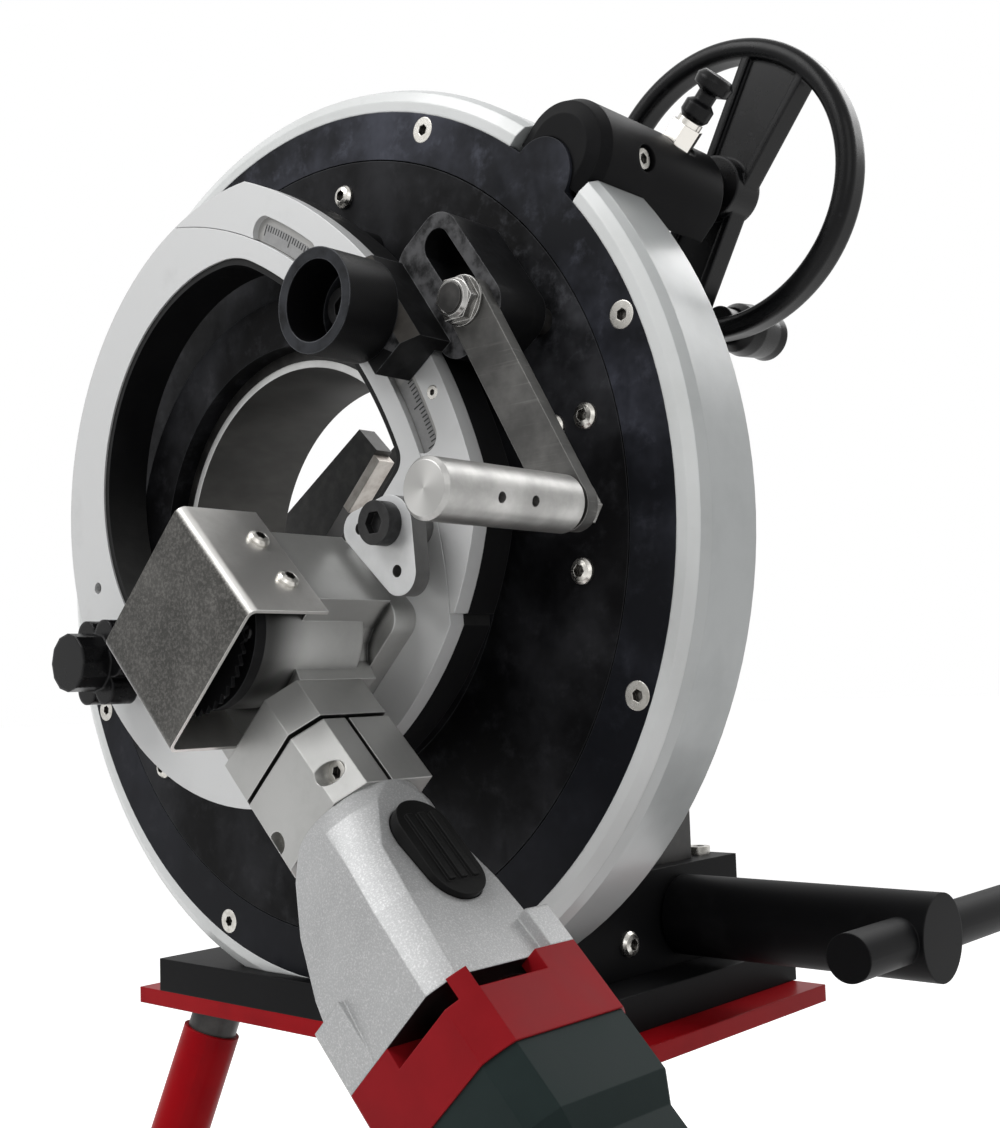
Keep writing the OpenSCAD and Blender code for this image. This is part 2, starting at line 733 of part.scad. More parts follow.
// Places of the two screws that hold the guard on the flat top
module guard_spots() for (a = [head_a + 8, flat_a - 8])
  head() translate([a, head_y + 8, head_top + sheet_t]) rotate([-90, 0, 0]) children();

// Places of the screws round the gear cover
module cover_spots() for (k = [0 : 5]) at_blade() rotate([0, 60 * k + 20, 0])
  translate([27, cover_front, 0]) children();

module gear_cover() color("#1c1c1e") difference() {
  at_blade() pipe(arbor_r + 4, 31.5, cover_front, head_y);
  cover_spots() rod(1.5, -1, 9);
}

module head_bearings() color("dimgray") {
  at_blade() pipe(arbor_r + fit, 13, head_y + 1, head_y + 8);
  at_blade() pipe(arbor_r + fit, 11, face_y - 14, face_y - 8);
  at_lay() pipe(3 + fit, 5.5, head_y + 2, head_y + 8);
  at_lay() pipe(4 + fit, 8.3, face_y - 14, face_y - 8);
  at_motor() translate([0, 0, neck_a + 24]) motor_bearing(spigot_r - 4);
  at_motor() translate([0, 0, cap_a + 4]) motor_bearing(13);
}

module motor_bearing(r) difference() {
  cylinder(r = r, h = 9);
  translate([0, 0, -1]) cylinder(r = spindle_r + fit, h = 20);
}

module blade_arbor() color("dimgray") at_blade() {
  rod(arbor_r, guard_y + 6, face_y - 9);
  rod(10, blade_y + blade_t, cover_front - gap);
  front_of(gears_y + 8) linear_extrude(8) gear_outline(1, arbor_teeth, 90);
}

module saw_blade() color("gray") at_blade() front_of(blade_y + blade_t) linear_extrude(blade_t) difference() {
  polygon([for (i = [0 : 43]) for (k = [[0, -2.2], [0.25, 0], [0.45, 0]])
    (blade_r + k[1]) * [cos((i + k[0]) * 360 / 44), sin((i + k[0]) * 360 / 44)]]);
  circle(arbor_r);
}

module blade_nut() color("gray") at_blade() difference() {
  union() {
    rod(13, blade_y - 1.5, blade_y);
    front_of(blade_y - 1.4) cylinder(r = 11, h = 3.4, $fn = 6);
  }
  rod(arbor_r, blade_y - 10, blade_y + 1);
}

module lay_shaft() color("dimgray") at_lay() {
  rod(3, head_y + 3, gears_y);
  rod(4, gears_y - 0.1, face_y - 9);
  front_of(gears_y + 8) linear_extrude(8) gear_outline(1, lay_teeth, -90);
  front_of(motor_y + bevel_small + 6) rotate_extrude() polygon([[0, 0], [bevel_big - 0.4, 0], [bevel_big - 0.4, 5.6],
    [bevel_big - 4.5, 7.3], [0, 7.3]]);
}

// Sheet guard: a flat front with both edges bent back over the blade
module blade_guard() color("silver") difference() {
  head() translate([blade_a - 30, 0, 0]) rotate([0, 90, 0]) linear_extrude(60) difference() {
    union() {
      translate([-head_top - sheet_t, guard_y + 4]) square([head_top + sheet_t - guard_low, head_y + 17.7 - guard_y - 4]);
      translate([-head_top - sheet_t + 4, guard_y]) square([head_top + sheet_t - guard_low - 8, 20]);
      translate([-head_top - sheet_t + 4, guard_y + 4]) circle(4);
      translate([-guard_low - 4, guard_y + 4]) circle(4);
    }
    translate([-head_top, guard_y + 4]) square([head_top - guard_low - sheet_t, 80]);
    translate([4 - head_top - sheet_t, guard_y + sheet_t]) square([head_top + sheet_t - guard_low - 8, 80]);
    translate([4 - head_top - sheet_t, guard_y + 4]) circle(4 - sheet_t);
    translate([-guard_low - 4, guard_y + 4]) circle(4 - sheet_t);
  }
  guard_spots() rod(2, -1, 6);
}

// Split clamp neck and the motor

module neck_clamp() color("#c4c6c8") difference() {
  union() {
    head() translate([neck_a, motor_y, 0]) rotate([0, 90, 0]) linear_extrude(neck_l)
      translate([-motor_n, 0]) polygon([[-25.5, 22], [-25.5, -12], [-15.5, -22], [20, -22], [25.5, -16.5], [25.5, 22]]);
    at_motor() translate([0, 0, neck_a - 12]) cylinder(r = 8.5, h = 13);
  }
  at_motor() translate([0, 0, neck_a - 20]) cylinder(r = 6, h = neck_l);
  at_motor() translate([0, 0, neck_a + 21]) cylinder(r = spigot_r, h = neck_l);
  head() translate([neck_a + 19, motor_y - 40, motor_n + 15]) cube([2, 80, 40]);
  head() translate([neck_a + 19, motor_y - 1, motor_n + 10]) cube([neck_l, 2, 40]);
  head() translate([neck_a + 19, motor_y - 30, motor_n - 40]) cube([2, 12, 80]);
  neck_spots() rod(4.5, -30, 6);
  neck_spots() rod(2.5, 5, 30);
}

// Places of the two screws that pull the neck's clamp together
module neck_spots() for (s = [-1, 1])
  head() translate([neck_a + 0.78 * neck_l, motor_y - 16, motor_n + s * (spigot_r + 2.7)]) children();

module carriage_screws() color("#2c2c30") {
  guard_spots() button_screw(4.5, 2, 6);
  cover_spots() button_screw(2.6, 1.5, 9);
  neck_spots() translate([0, 6, 0]) cap_screw(4.5, 5, 2.5, 20);
  at_pivot(feed_turn) translate([knob_u, block_y - 6.6, knob_v]) cap_screw(8, 5, 5, 18);
  translate([stop_x, stop_y, stop_z]) cap_screw(9, 7, 5, face_back + 8 - gap - stop_y);
}

// Cross-section of the motor's case: a square with its corners cut by a circle
module case_outline(r, flat) intersection() {
  square(2 * flat * r, center = true);
  circle(r);
}

// Thin slice of the case, moved a share of the way from the spindle's axis to the case's own middle
module case_slice(a, r, share, flat) translate([share * case_off[0], share * case_off[1], a])
  linear_extrude(0.2) case_outline(r, flat);

// Straight length of the case between two places along the motor
module case_length(r, a0, a1) translate([case_off[0], case_off[1], a0])
  linear_extrude(a1 - a0) case_outline(r, 0.8);

module gearbox_case() color("silver") at_motor() difference() {
  union() {
    for (i = [0 : len(case_steps) - 2]) hull() {
      case_slice(case_a + case_steps[i][0], case_steps[i][1] * case_r, case_steps[i][2], case_steps[i][3]);
      case_slice(case_a + case_steps[i + 1][0], case_steps[i + 1][1] * case_r, case_steps[i + 1][2],
        case_steps[i + 1][3]);
    }
    translate([0, 0, neck_a + 21]) cylinder(r = spigot_r, h = 60);
    intersection() {
      case_length(case_r, collar_a - 16, collar_a);
      translate([-100, 10, 0]) cube([86, 90, 2 * collar_a]);
    }
    intersection() {
      case_length(case_r, collar_a - 25, collar_a);
      translate([14, -100, 0]) cube([86, 82, 2 * collar_a]);
    }
  }
  translate([0, 0, neck_a]) cylinder(r = spigot_r - 4, h = neck_l + 10);
  translate([0, 0, case_a + 9]) cylinder(r = core_r - 3.5, h = 120);
  at_button() translate([0, 0, -3.2]) linear_extrude(60) rounded(44 + 2 * gap, 24 + 2 * gap, 12);
}

// Frame under the lock button, z pointing out of the case
module at_button() translate([5.5 - core_r, button_y, button_a]) rotate([0, -90, 0]) children();

module lock_button() color("#1c1c1e") at_motor() at_button() {
  linear_extrude(12) rounded(44, 24, 11.7);
  for (y = [-6, 0, 6])
    translate([-15, y - 1.5, 11.9]) cube([30, 3, 1.5]);
}

module motor_collar() color("firebrick") at_motor() difference() {
  case_length(case_r, collar_a, body_a);
  translate([0, 0, collar_a - 1]) cylinder(r = core_r + 1, h = 60);
  translate([case_off[0], case_off[1], collar_a - 1]) for (k = [0, 180]) rotate(k) {
    translate([-0.86 * collar_flat, -2 * case_r, 0]) cube([0.93 * collar_flat, 2 * case_r - 0.46 * collar_flat, 9]);
    translate([-2 * case_r, -0.75 * collar_flat, 0]) cube([2 * case_r - 0.6 * collar_flat, 0.93 * collar_flat, 9]);
  }
}

module motor_body() color("#16302c") at_motor() difference() {
  union() {
    case_length(case_r - 0.9, body_a, body_a + 24);
    hull() {
      case_slice(body_a + 23.8, case_r - 0.9, 1, 0.8);
      case_slice(body_a + 33.8, grip_r, 1, 0.8);
    }
    case_length(grip_r, body_a + 33.9, cap_a);
  }
  translate([0, 0, body_a - 1]) cylinder(r = core_r, h = body_l + 2);
  translate([-100, -5, body_a + 44]) cube([98 - core_r, 10, 28]);
}

module slide_switch() color("#1c1c1e") at_motor() translate([-switch_x - 4, gap - 5, body_a + 44 + gap])
  cube([switch_x + 2 - core_r - gap, 10 - 2 * gap, 20]);

module motor_end_cap() color("#16302c") at_motor() difference() {
  union() {
    case_length(grip_r, cap_a, cap_end - 16);
    hull() {
      case_slice(cap_end - 16.2, grip_r, 1, 0.8);
      case_slice(cap_end - 0.2, grip_r - 9, 1, 0.8);
    }
  }
  translate([0, 0, cap_a - 1]) cylinder(r = 13, h = 24);
  difference() {
    translate([0, 0, cap_a - 1]) cylinder(r = core_r, h = 20);
    translate([0, 0, cap_a - 2]) cylinder(r = 17, h = 30);
  }
}

module motor_stator() color("dimgray") at_motor() difference() {
  translate([0, 0, body_a + 20]) cylinder(r = core_r, h = 0.45 * body_l);
  translate([0, 0, body_a]) cylinder(r = core_r - 9, h = body_l);
}

module motor_spindle() color("dimgray") at_motor() {
  translate([0, 0, blade_a + bevel_big]) cylinder(r = spindle_r, h = cap_a + 16 - blade_a - bevel_big);
  translate([0, 0, blade_a + bevel_big - 4.2]) cylinder(r1 = bevel_small - 1.9, r2 = bevel_small - 0.3, h = 4.3);
}

module armature_core() color("sienna") at_motor() difference() {
  union() {
    translate([0, 0, body_a + 18]) cylinder(r = core_r - 10, h = 0.45 * body_l + 4);
    translate([0, 0, body_a + 0.45 * body_l + 28]) cylinder(r = 13, h = 18);
    translate([0, 0, body_a + 12]) cylinder(r = 9, h = 0.45 * body_l + 30);
  }
  translate([0, 0, body_a]) cylinder(r = spindle_r, h = body_l);
}

module cooling_fan() color("dimgray") at_motor() difference() {
  union() {
    translate([0, 0, collar_a + 8]) cylinder(r = core_r - 2, h = 2.5);
    translate([0, 0, collar_a + 8]) cylinder(r = 11, h = 14);
    for (k = [0 : 9]) rotate([0, 0, 36 * k]) translate([10, -1, collar_a + 10]) cube([core_r - 13, 2, 10]);
  }
  translate([0, 0, collar_a]) cylinder(r = spindle_r, h = 40);
}

// Clamp lever

module clamp_lever() color("silver") difference() {
  front_of(lever_back) linear_extrude(lever_t) {
    translate([clamp_x, clamp_z]) circle(10);
    translate([handle_x, handle_z]) circle(10);
    translate([clamp_x, clamp_z]) rotate(-lever_down) translate([0, -9.8]) square([lever_l, 19.6]);
  }
  translate([clamp_x, 0, clamp_z]) rod(clamp_r + fit, lever_y - 1, arm_y);
  translate([handle_x, 0, handle_z]) rod(4, lever_y - 1, arm_y);
}

module lever_fasteners() color("silver") {
  translate([clamp_x, 0, clamp_z]) difference() {
    union() {
      rod(10.4, lever_y - 1.5, lever_y);
      front_of(lever_y - 1.4) cylinder(r = 9.6, h = 4.6, $fn = 6);
      front_of(lever_y - 5.9) cylinder(r1 = 8, r2 = 7.2, h = 2);
    }
    rod(clamp_r + fit, lever_y - 30, lever_y + 1);
  }
  translate([handle_x, 0, handle_z]) {
    rod(4, handle_back - 30, lever_back + 9);
    front_of(lever_back + 6) cylinder(r = 7.5, h = 6, $fn = 6);
  }
}

module lever_handle() color("#c4c6c8") translate([handle_x, 0, handle_z]) difference() {
  union() {
    front_of(handle_back) rotate_extrude() polygon([[0, 0], [handle_r - 1.5, 0], [handle_r, 1.5],
      [handle_r, handle_l - 1.5], [handle_r - 1.5, handle_l], [0, handle_l]]);
    rod(handle_r - 5, handle_back - 0.1, lever_y);
  }
  rod(4, handle_back - 30, lever_y + 1);
  for (y = [0.39, 0.63])
    rotate([0, 12, 0]) translate([0, handle_back - y * handle_l, 0]) rotate([0, 90, 0]) cylinder(r = 2, h = 40);
}

// Handwheel drive

// Hollow of the toothed cup, a tooth space pointing at the handwheel's shaft
module cup_hollow() polygon([for (i = [0 : cup_teeth - 1])
  for (k = [[-0.38, -0.75], [-0.20, 1.25], [0.20, 1.25], [0.38, -0.75]])
    wheel_module * (cup_teeth / 2 + k[1])
      * [cos(90 + (i + k[0]) * 360 / cup_teeth), sin(90 + (i + k[0]) * 360 / cup_teeth)]]);

module pinion_shaft() color("dimgray") at_pinion() {
  rod(shaft_r, retainer_t + 2, cup_y + 0.1);
  front_of(gear_back) linear_extrude(gear_t) gear_outline(gear_module, pinion_teeth, 90);
  rod(cup_r, cup_y, cup_y + 4);
  front_of(cup_back) linear_extrude(cup_back - cup_y - 3.9) difference() {
    circle(cup_r);
    cup_hollow();
  }
}

module wheel_shaft() color("dimgray") at_wheel() {
  rod(shaft_r, cup_back + 0.5, wheel_y + wheel_rim / 2);
  rod(0.55 * shaft_r, cup_back - 1.1, cup_back + 0.6);
  front_of(cup_back - 1) linear_extrude(10) gear_outline(wheel_module, wheel_teeth, 90);
}

module handwheel() color("#1c1c1e") at_wheel() translate([0, wheel_y, 0]) difference() {
  union() {
    rotate([90, 0, 0]) rotate_extrude() translate([wheel_r - rim_w / 2, 0]) rounded(rim_w, wheel_rim, 4.5);
    rod(15, -wheel_rim / 2 - 3, wheel_rim / 2);
    rotate([0, -12, 0]) front_of(3.5) linear_extrude(7) polygon([[-13, 0], [-19, 5 - wheel_r], [19, 5 - wheel_r],
      [13, 0], [19, wheel_r - 5], [-19, wheel_r - 5]]);
    for (s = [-1, 1])
      rotate([0, -12, 0]) front_of(6) linear_extrude(12) polygon([[s * 13, 0], [s * 19, 5 - wheel_r],
        [s * 15, 5 - wheel_r], [s * 9.5, 0], [s * 15, wheel_r - 5], [s * 19, wheel_r - 5]]);
    grip_frame() rod(5, 0, wheel_rim / 2 + grip_l + 4);
    grip_frame() rod(7, wheel_rim / 2 + grip_l + 2 + 2 * gap, wheel_rim / 2 + grip_l + 5);
    grip_frame() rod(8, 0, wheel_rim / 2 + 2);
  }
  rod(shaft_r, -60, 60);
}

// Frame on the grip's own axis, measured from the wheel's middle plane
module grip_frame() rotate([0, 51, 0]) translate([grip_at, 0, 0]) children();

module wheel_grip() color("#1c1c1e") at_wheel() translate([0, wheel_y, 0]) grip_frame() difference() {
  translate([0, wheel_rim / 2 + 2 + gap, 0]) rotate([-90, 0, 0]) rotate_extrude() polygon([[5 + fit, 0], [9, 0],
    [12, 5], [13, 0.35 * grip_l], [11.5, 0.75 * grip_l], [12, grip_l - 4], [9, grip_l], [5 + fit, grip_l]]);
  rod(5 + fit, 0, 200);
}

// Vise

module clamp_spindle() color("#1c1c1e") {
  translate([-bed_w / 2, vise_y, vise_z]) rotate([0, 90, 0]) cylinder(r = screw_r, h = bed_w + 3);
  translate([tube_x, vise_y, vise_z]) rotate([0, 90, 0]) cylinder(r = tube_r, h = tube_l);
  translate([bar_x, 0, vise_z]) rod(bar_r, vise_y - 61, vise_y + 97);
}

// Outline of one V jaw that opens towards +X
module jaw_outline() polygon([[-jaw_apex - jaw_set, 0], [jaw_tip - jaw_apex - jaw_set, jaw_tip],
  [jaw_tip - jaw_apex - jaw_set - 14, jaw_tip + 14], [-jaw_apex - 28, 34], [-jaw_apex - 28, -34],
  [jaw_tip - jaw_apex - jaw_set - 14, -jaw_tip - 14], [jaw_tip - jaw_apex - jaw_set, -jaw_tip]]);

// Foot of a jaw that opens towards +X, with the bore for the screw
module jaw_post() difference() {
  translate([-post_out, vise_y - slot_half, vise_z - 15 + gap])
    cube([post_out - post_in, 2 * slot_half, jaw_rise]);
  translate([-bed_w, vise_y, vise_z]) rotate([0, 90, 0]) cylinder(r = screw_r + gap, h = 2 * bed_w);
}

module jaw_left() color("#2a2a2c") {
  for (y = [-12, slot_half])
    front_of(vise_y + y) linear_extrude(12) jaw_outline();
  jaw_post();
}

module jaw_right() color("#2a2a2c") mirror([1, 0, 0]) {
  front_of(vise_y + 11) linear_extrude(22) jaw_outline();
  jaw_post();
}

// Pads on both faces of a V, thick enough to meet the pipe
module jaw_pads(depth) for (s = [-1, 1])
  translate([-jaw_apex - jaw_set, 0, 0]) rotate([0, s * 45, 0]) translate([52, -depth / 2, s > 0 ? 0 : -6])
    cube([38, depth, 6]);

module pads_left() color("silver") for (y = [-18, 18]) translate([0, vise_y + y, 0]) jaw_pads(12);

module pads_right() color("silver") mirror([1, 0, 0]) translate([0, vise_y, 0]) jaw_pads(22);

ring_housing();
rear_cover();
retaining_ring();
frame_screws();
bore_sleeve();
frame_bushes();
pinion_housing();
plunger_body();
base_plate();
vise_bed();
stand_plate();
leg_sockets();
stand_legs();
leg_feet();
rotor_disc();
rotor_bush();
ring_gear();
rotor_screws();
guide_carrier();
guide_band();
rotor_studs();
swing_plate();
swing_backing();
feed_block();
stop_plate();
gear_head();
gear_cover();
carriage_screws();
head_bearings();
neck_clamp();
blade_guard();
gearbox_case();
motor_collar();
motor_body();
motor_end_cap();
motor_stator();
saw_blade();
blade_arbor();
blade_nut();
lay_shaft();
motor_spindle();
armature_core();
cooling_fan();
lock_button();
slide_switch();
push_knob();
star_knob();
clamp_lever();
lever_fasteners();
lever_handle();
handwheel();
wheel_shaft();
pinion_shaft();
wheel_grip();
index_plunger();
clamp_spindle();
jaw_left();
jaw_right();
pads_left();
pads_right();
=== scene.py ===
"""Orbital pipe cutter: finishes, scale tapes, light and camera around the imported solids."""
import math

import bpy
import numpy as np
from mathutils import Matrix, Vector


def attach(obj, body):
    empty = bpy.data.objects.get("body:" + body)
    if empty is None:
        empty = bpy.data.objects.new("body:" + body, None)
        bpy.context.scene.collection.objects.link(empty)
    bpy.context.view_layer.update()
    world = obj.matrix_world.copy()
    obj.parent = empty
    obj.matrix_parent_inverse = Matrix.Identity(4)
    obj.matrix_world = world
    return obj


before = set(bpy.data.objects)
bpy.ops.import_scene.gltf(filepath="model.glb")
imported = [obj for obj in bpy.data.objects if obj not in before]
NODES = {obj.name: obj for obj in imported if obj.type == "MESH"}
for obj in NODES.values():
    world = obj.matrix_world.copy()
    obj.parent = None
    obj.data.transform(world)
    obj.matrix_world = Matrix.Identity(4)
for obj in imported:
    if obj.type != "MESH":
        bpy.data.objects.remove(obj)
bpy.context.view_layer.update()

# Lengths are in millimetres and angles in degrees, and MM turns a length into the scene's metres
MM = 0.001
FLOOR_Z = -592.0

# Directions on the object: to the front, up, out of the feed block's chamfer, and along the motor
FRONT = (0, -1, 0)
UP = (0, 0, 1)
CHAMFER = (0.583, -0.707, 0.400)
MOTOR_WAY = (0.707, 0, -0.707)

# Places that the finishes follow: x and z seen from the front, y along the pipe, and reaches round them
HANDLE_X, HANDLE_Z = 192.3, -5.05
LEVER_DOWN = 60.8
# Middle of the painted sheen on the rotor's face, and the reaches over which it fades out
SWEEP_X, SWEEP_Z, SWEEP_NEAR, SWEEP_FAR = 146.0, 108.0, 15.0, 90.0
KNOB_X, KNOB_Z = 103.6, 82.8
SLOT_X, SLOT_Z, SLOT_REACH = 133.8, 96.4, 36.0
POCKET_Y, POCKET_SLACK = -43.0, 0.6
# Depths along y: the gear head is in full painted shade in front of the first, and clear of it behind the
# second
OILED_Y, CLEAN_Y = -114.0, -92.0
# Heights between which the painted sheen on the retaining ring rises from none to full
UNTOUCHED_Z, HANDLED_Z = -160.0, 150.0
BRIGHT_SPOTS = [(85.2, -12.4), (102.1, -29.4), (96.1, -127.5), (122.6, -101.1)]
SPOT_R = 7.5

# Fine patterns: waves of the knurl round the knob, and the rest in radians for each metre
KNURL_WAVES, KNURL_LEAN = 110.0, 5200.0
FACING_RINGS, TURNING_RINGS = 9000.0, 14000.0

# Painted shade: the near-black put in slits and holes where shade falls in them
DIRT = (0.012, 0.012, 0.011)


# Shader arithmetic

class Value:
    """One socket of a material. Arithmetic on it adds Math nodes to the same node tree."""

    def __init__(self, tree, socket=None):
        self.tree = tree
        self.socket = socket

    def make(self, kind, settings=None, out=0, **sockets):
        """Adds a node, sets its settings, then the values or links of its sockets, and returns one output.

        A socket goes by its name with _ for each space, or by _ and its number where a name repeats."""
        node = self.tree.nodes.new("ShaderNode" + kind)
        for name, setting in (settings or {}).items():
            setattr(node, name, setting)
        for name, given in sockets.items():
            socket = node.inputs[int(name[1:]) if name[0] == "_" else name.replace("_", " ")]
            if isinstance(given, Value):
                self.tree.links.new(given.socket, socket)
            else:
                socket.default_value = given
        return Value(self.tree, node.outputs[out])

    def math(self, operation, *given):
        """A Math node on up to three values."""
        return self.make("Math", {"operation": operation}, **{"_%d" % i: g for i, g in enumerate(given)})

    def __add__(self, other):
        return self.math("ADD", self, other)

    def __radd__(self, other):
        return self.math("ADD", other, self)

    def __sub__(self, other):
        return self.math("SUBTRACT", self, other)

    def __rsub__(self, other):
        return self.math("SUBTRACT", other, self)

    def __mul__(self, other):
        return self.math("MULTIPLY", self, other)

    def __rmul__(self, other):
        return self.math("MULTIPLY", other, self)

    def __pow__(self, other):
        return self.math("POWER", self, other)

    def between(self, low, high):
        """0 below low, 1 above high, smooth in the middle."""
        return self.make("MapRange", {"interpolation_type": "SMOOTHSTEP"},
                         Value=self, From_Min=low, From_Max=high)


def finish(name, build):
    """A material whose surface sockets come from build(v), a dictionary of values and links."""
    material = bpy.data.materials.new(name)
    material.use_nodes = True
    tree = material.node_tree
    shader = tree.nodes["Principled BSDF"]
    for socket, given in build(Value(tree)).items():
        if isinstance(given, Value):
            tree.links.new(given.socket, shader.inputs[socket])
        else:
            shader.inputs[socket].default_value = given
    return material


def place(v):
    """Object coordinates of the piece, in metres."""
    return v.make("TexCoord", out="Object")


def coordinates(v):
    """The three object coordinates, each a value in metres."""
    at = place(v)
    return [v.make("SeparateXYZ", out=i, Vector=at) for i in range(3)]


def noise(v, scale, detail=3.0, rough=0.55, stretch=(1, 1, 1)):
    """Cloudy noise between 0 and 1, with the scale in cycles per metre along each axis."""
    at = v.make("Mapping", Vector=place(v), Scale=tuple(scale * s for s in stretch))
    return v.make("TexNoise", Vector=at, Scale=1.0, Detail=detail, Roughness=rough)


def cloud(v, scale, low, high, detail=5.0, rough=0.6, stretch=(1, 1, 1)):
    """Patches between 0 and 1 from noise, cut between two levels."""
    return noise(v, scale, detail, rough, stretch).between(low, high)


def blend(v, mask, under, upper):
    """One colour where the mask is 0 and another where it is 1, each of them three numbers or a value.

    The Mix node holds its two colours in sockets 6 and 7, and gives the mixed colour as output 2."""
    ends = [(*colour, 1.0) if isinstance(colour, tuple) else colour for colour in (under, upper)]
    return v.make("Mix", {"data_type": "RGBA"}, out=2, Factor=mask, _6=ends[0], _7=ends[1])


def soft_edges(v, radius):
    """Normal that rolls over each edge within the radius."""
    return v.make("Bevel", {"samples": 6}, Radius=radius * MM)


def bumped(v, height, strength, depth, normal):
    """A Bump node over a rolled-edge normal."""
    return v.make("Bump", Height=height, Strength=strength, Distance=depth * MM, Normal=normal)


# Masks on edges, in hollows, at a place on the object or on faces that look one way

def edges(v, rolled):
    """1 where the rolled normal turns away from the face's own, which is along the edges."""
    flat = v.make("NewGeometry", out="Normal")
    turn = v.make("VectorMath", {"operation": "DOT_PRODUCT"}, out="Value", _0=rolled, _1=flat)
    return (1.0 - turn).between(0.01, 0.16)


def recess(v, depth):
    """1 in hollows narrower than the depth, 0 on open faces."""
    open_sky = v.make("AmbientOcclusion", {"samples": 8, "only_local": True}, out="AO", Distance=depth * MM)
    return (1.0 - open_sky).between(0.14, 0.46)


def away(v, x, z):
    """Distance in metres from the line along Y through x, z."""
    px, _, pz = coordinates(v)
    dx, dz = px - x * MM, pz - z * MM
    return v.math("SQRT", dx * dx + dz * dz)


def around(v, x, z, radius):
    """1 inside a cylinder along Y through x, z, and 0 outside."""
    return v.math("LESS_THAN", away(v, x, z), radius * MM)


def facing(v, way, low, high):
    """0 to 1 as the surface turns towards a fixed direction of the object."""
    side = v.make("TexCoord", out="Normal")
    way = Vector(way).normalized()
    turn = v.make("VectorMath", {"operation": "DOT_PRODUCT"}, out="Value", _0=side, _1=way)
    return turn.between(low, high)


def handled_top(v):
    """Painted sheen: 0 low on the retaining ring, rising to 1 at its top, so that its upper half shows
    lighter as light from above falls on it.
    """
    return coordinates(v)[2].between(UNTOUCHED_Z * MM, HANDLED_Z * MM)


def lever_sweep(v):
    """Painted sheen on the rotor's face round the clamp lever, full near it and a little of it on the rest.
    """
    return 0.16 + 0.84 * (1.0 - away(v, SWEEP_X, SWEEP_Z).between(SWEEP_NEAR * MM, SWEEP_FAR * MM))


# Painted and coated finishes

def white_enamel(v):
    """Gloss paint with a faint orange peel, flanks greyer than the front by painted shade, and grime that
    gathers in cloudy patches.
    """
    rolled = soft_edges(v, 1.2)
    front = facing(v, FRONT, 0.15, 0.8)
    grime = cloud(v, 16, 0.45, 0.8)
    rub = cloud(v, 120, 0.62, 0.8)
    peel = noise(v, 900, 2)
    # Painted shade: the flanks take a greyer copy of the paint than the front face
    flank = blend(v, grime, (0.51, 0.53, 0.53), (0.41, 0.43, 0.43))
    face = blend(v, grime, (0.73, 0.745, 0.74), (0.64, 0.655, 0.645))
    return {"Base Color": blend(v, rub * 0.25, blend(v, front, flank, face), (0.50, 0.51, 0.50)),
            "Roughness": 0.30 + 0.12 * grime, "Coat Weight": 0.25, "Coat Roughness": 0.15,
            "Normal": bumped(v, peel, 0.05, 0.3, rolled)}


def hard_coat(low, high, glint, gloss, rubbed=None):
    """Blue-black hard coat between two shades, with rubbed smudges, drips and a bare glint on the edges.

    Where rubbed is given, a mask made from v, the coat inside that mask is lifted as a painted sheen, and the
    smudges outside it are kept low."""
    def build(v):
        rolled = soft_edges(v, 0.6)
        wide = cloud(v, 13, 0.40, 0.70)
        smear = cloud(v, 75, 0.50, 0.78, 6.0, 0.66)
        drip = cloud(v, 46, 0.60, 0.70, 3.0, 0.5, (1, 1, 0.55))
        shade = (wide * 0.65 + smear * 0.35) * (1.0 - 0.55 * drip)
        if rubbed:
            # Painted sheen: smudges lightened inside the mask and darkened outside it
            here = rubbed(v)
            shade = shade * (0.12 + 0.88 * here) + 0.16 * here * smear
        fine = noise(v, 2600, 2)
        coat = blend(v, shade, low, high)
        return {"Base Color": blend(v, edges(v, rolled) * glint, coat, (0.16, 0.165, 0.175)),
                "Roughness": 0.50 - 0.16 * smear + 0.10 * drip, "Specular IOR Level": gloss,
                "Normal": bumped(v, fine, 0.06, 0.1, rolled)}
    return build


def carrier_coat(v):
    """The plain black hard coat of the bodies behind the silver plates."""
    return hard_coat((0.004, 0.004, 0.0044), (0.011, 0.0112, 0.012), 0.25, 0.10)(v)


def dusty_coat(v):
    """The swing plate's black body, made lighter where its faces look up: painted light from above, mixed
    with cloudy swarf dust.
    """
    coat = carrier_coat(v)
    # Painted light on the faces that look up, broken by cloudy dust
    settled = facing(v, UP, -0.25, 0.6) * (0.7 + 0.3 * cloud(v, 60, 0.3, 0.7))
    return {**coat, "Base Color": blend(v, settled, coat["Base Color"], (0.055, 0.055, 0.054))}


def satin_black(v):
    """Satin black paint with a fine grain, a little dust and edges rubbed thin."""
    rolled = soft_edges(v, 1.0)
    grain = noise(v, 1800, 3)
    dust = cloud(v, 32, 0.5, 0.85)
    paint = blend(v, dust, (0.0045, 0.0045, 0.005), (0.011, 0.011, 0.012))
    return {"Base Color": blend(v, edges(v, rolled) * 0.16, paint, (0.09, 0.09, 0.09)),
            "Roughness": 0.48 + 0.12 * dust, "Specular IOR Level": 0.06,
            "Normal": bumped(v, grain, 0.10, 0.15, rolled)}


def knurled_black(v):
    """Black-oxide push knob: a fine cross knurl round it, a rubbed front rim and a dull inside."""
    rolled = soft_edges(v, 0.9)
    x, y, z = coordinates(v)
    turn = v.math("ARCTAN2", x - KNOB_X * MM, z - KNOB_Z * MM) * KNURL_WAVES
    lean = y * KNURL_LEAN
    knurl = v.math("SINE", turn + lean) + v.math("SINE", turn - lean)
    rim = facing(v, FRONT, 0.6, 0.95)
    worn = edges(v, rolled) * cloud(v, 150, 0.25, 0.55)
    face = blend(v, rim * cloud(v, 90, 0.25, 0.7), (0.003, 0.003, 0.0034), (0.030, 0.032, 0.037))
    return {"Base Color": blend(v, worn * 0.55, face, (0.20, 0.21, 0.23)),
            "Roughness": 0.42, "Specular IOR Level": 0.10,
            "Normal": bumped(v, knurl * (1.0 - rim), 0.10, 0.10, rolled)}


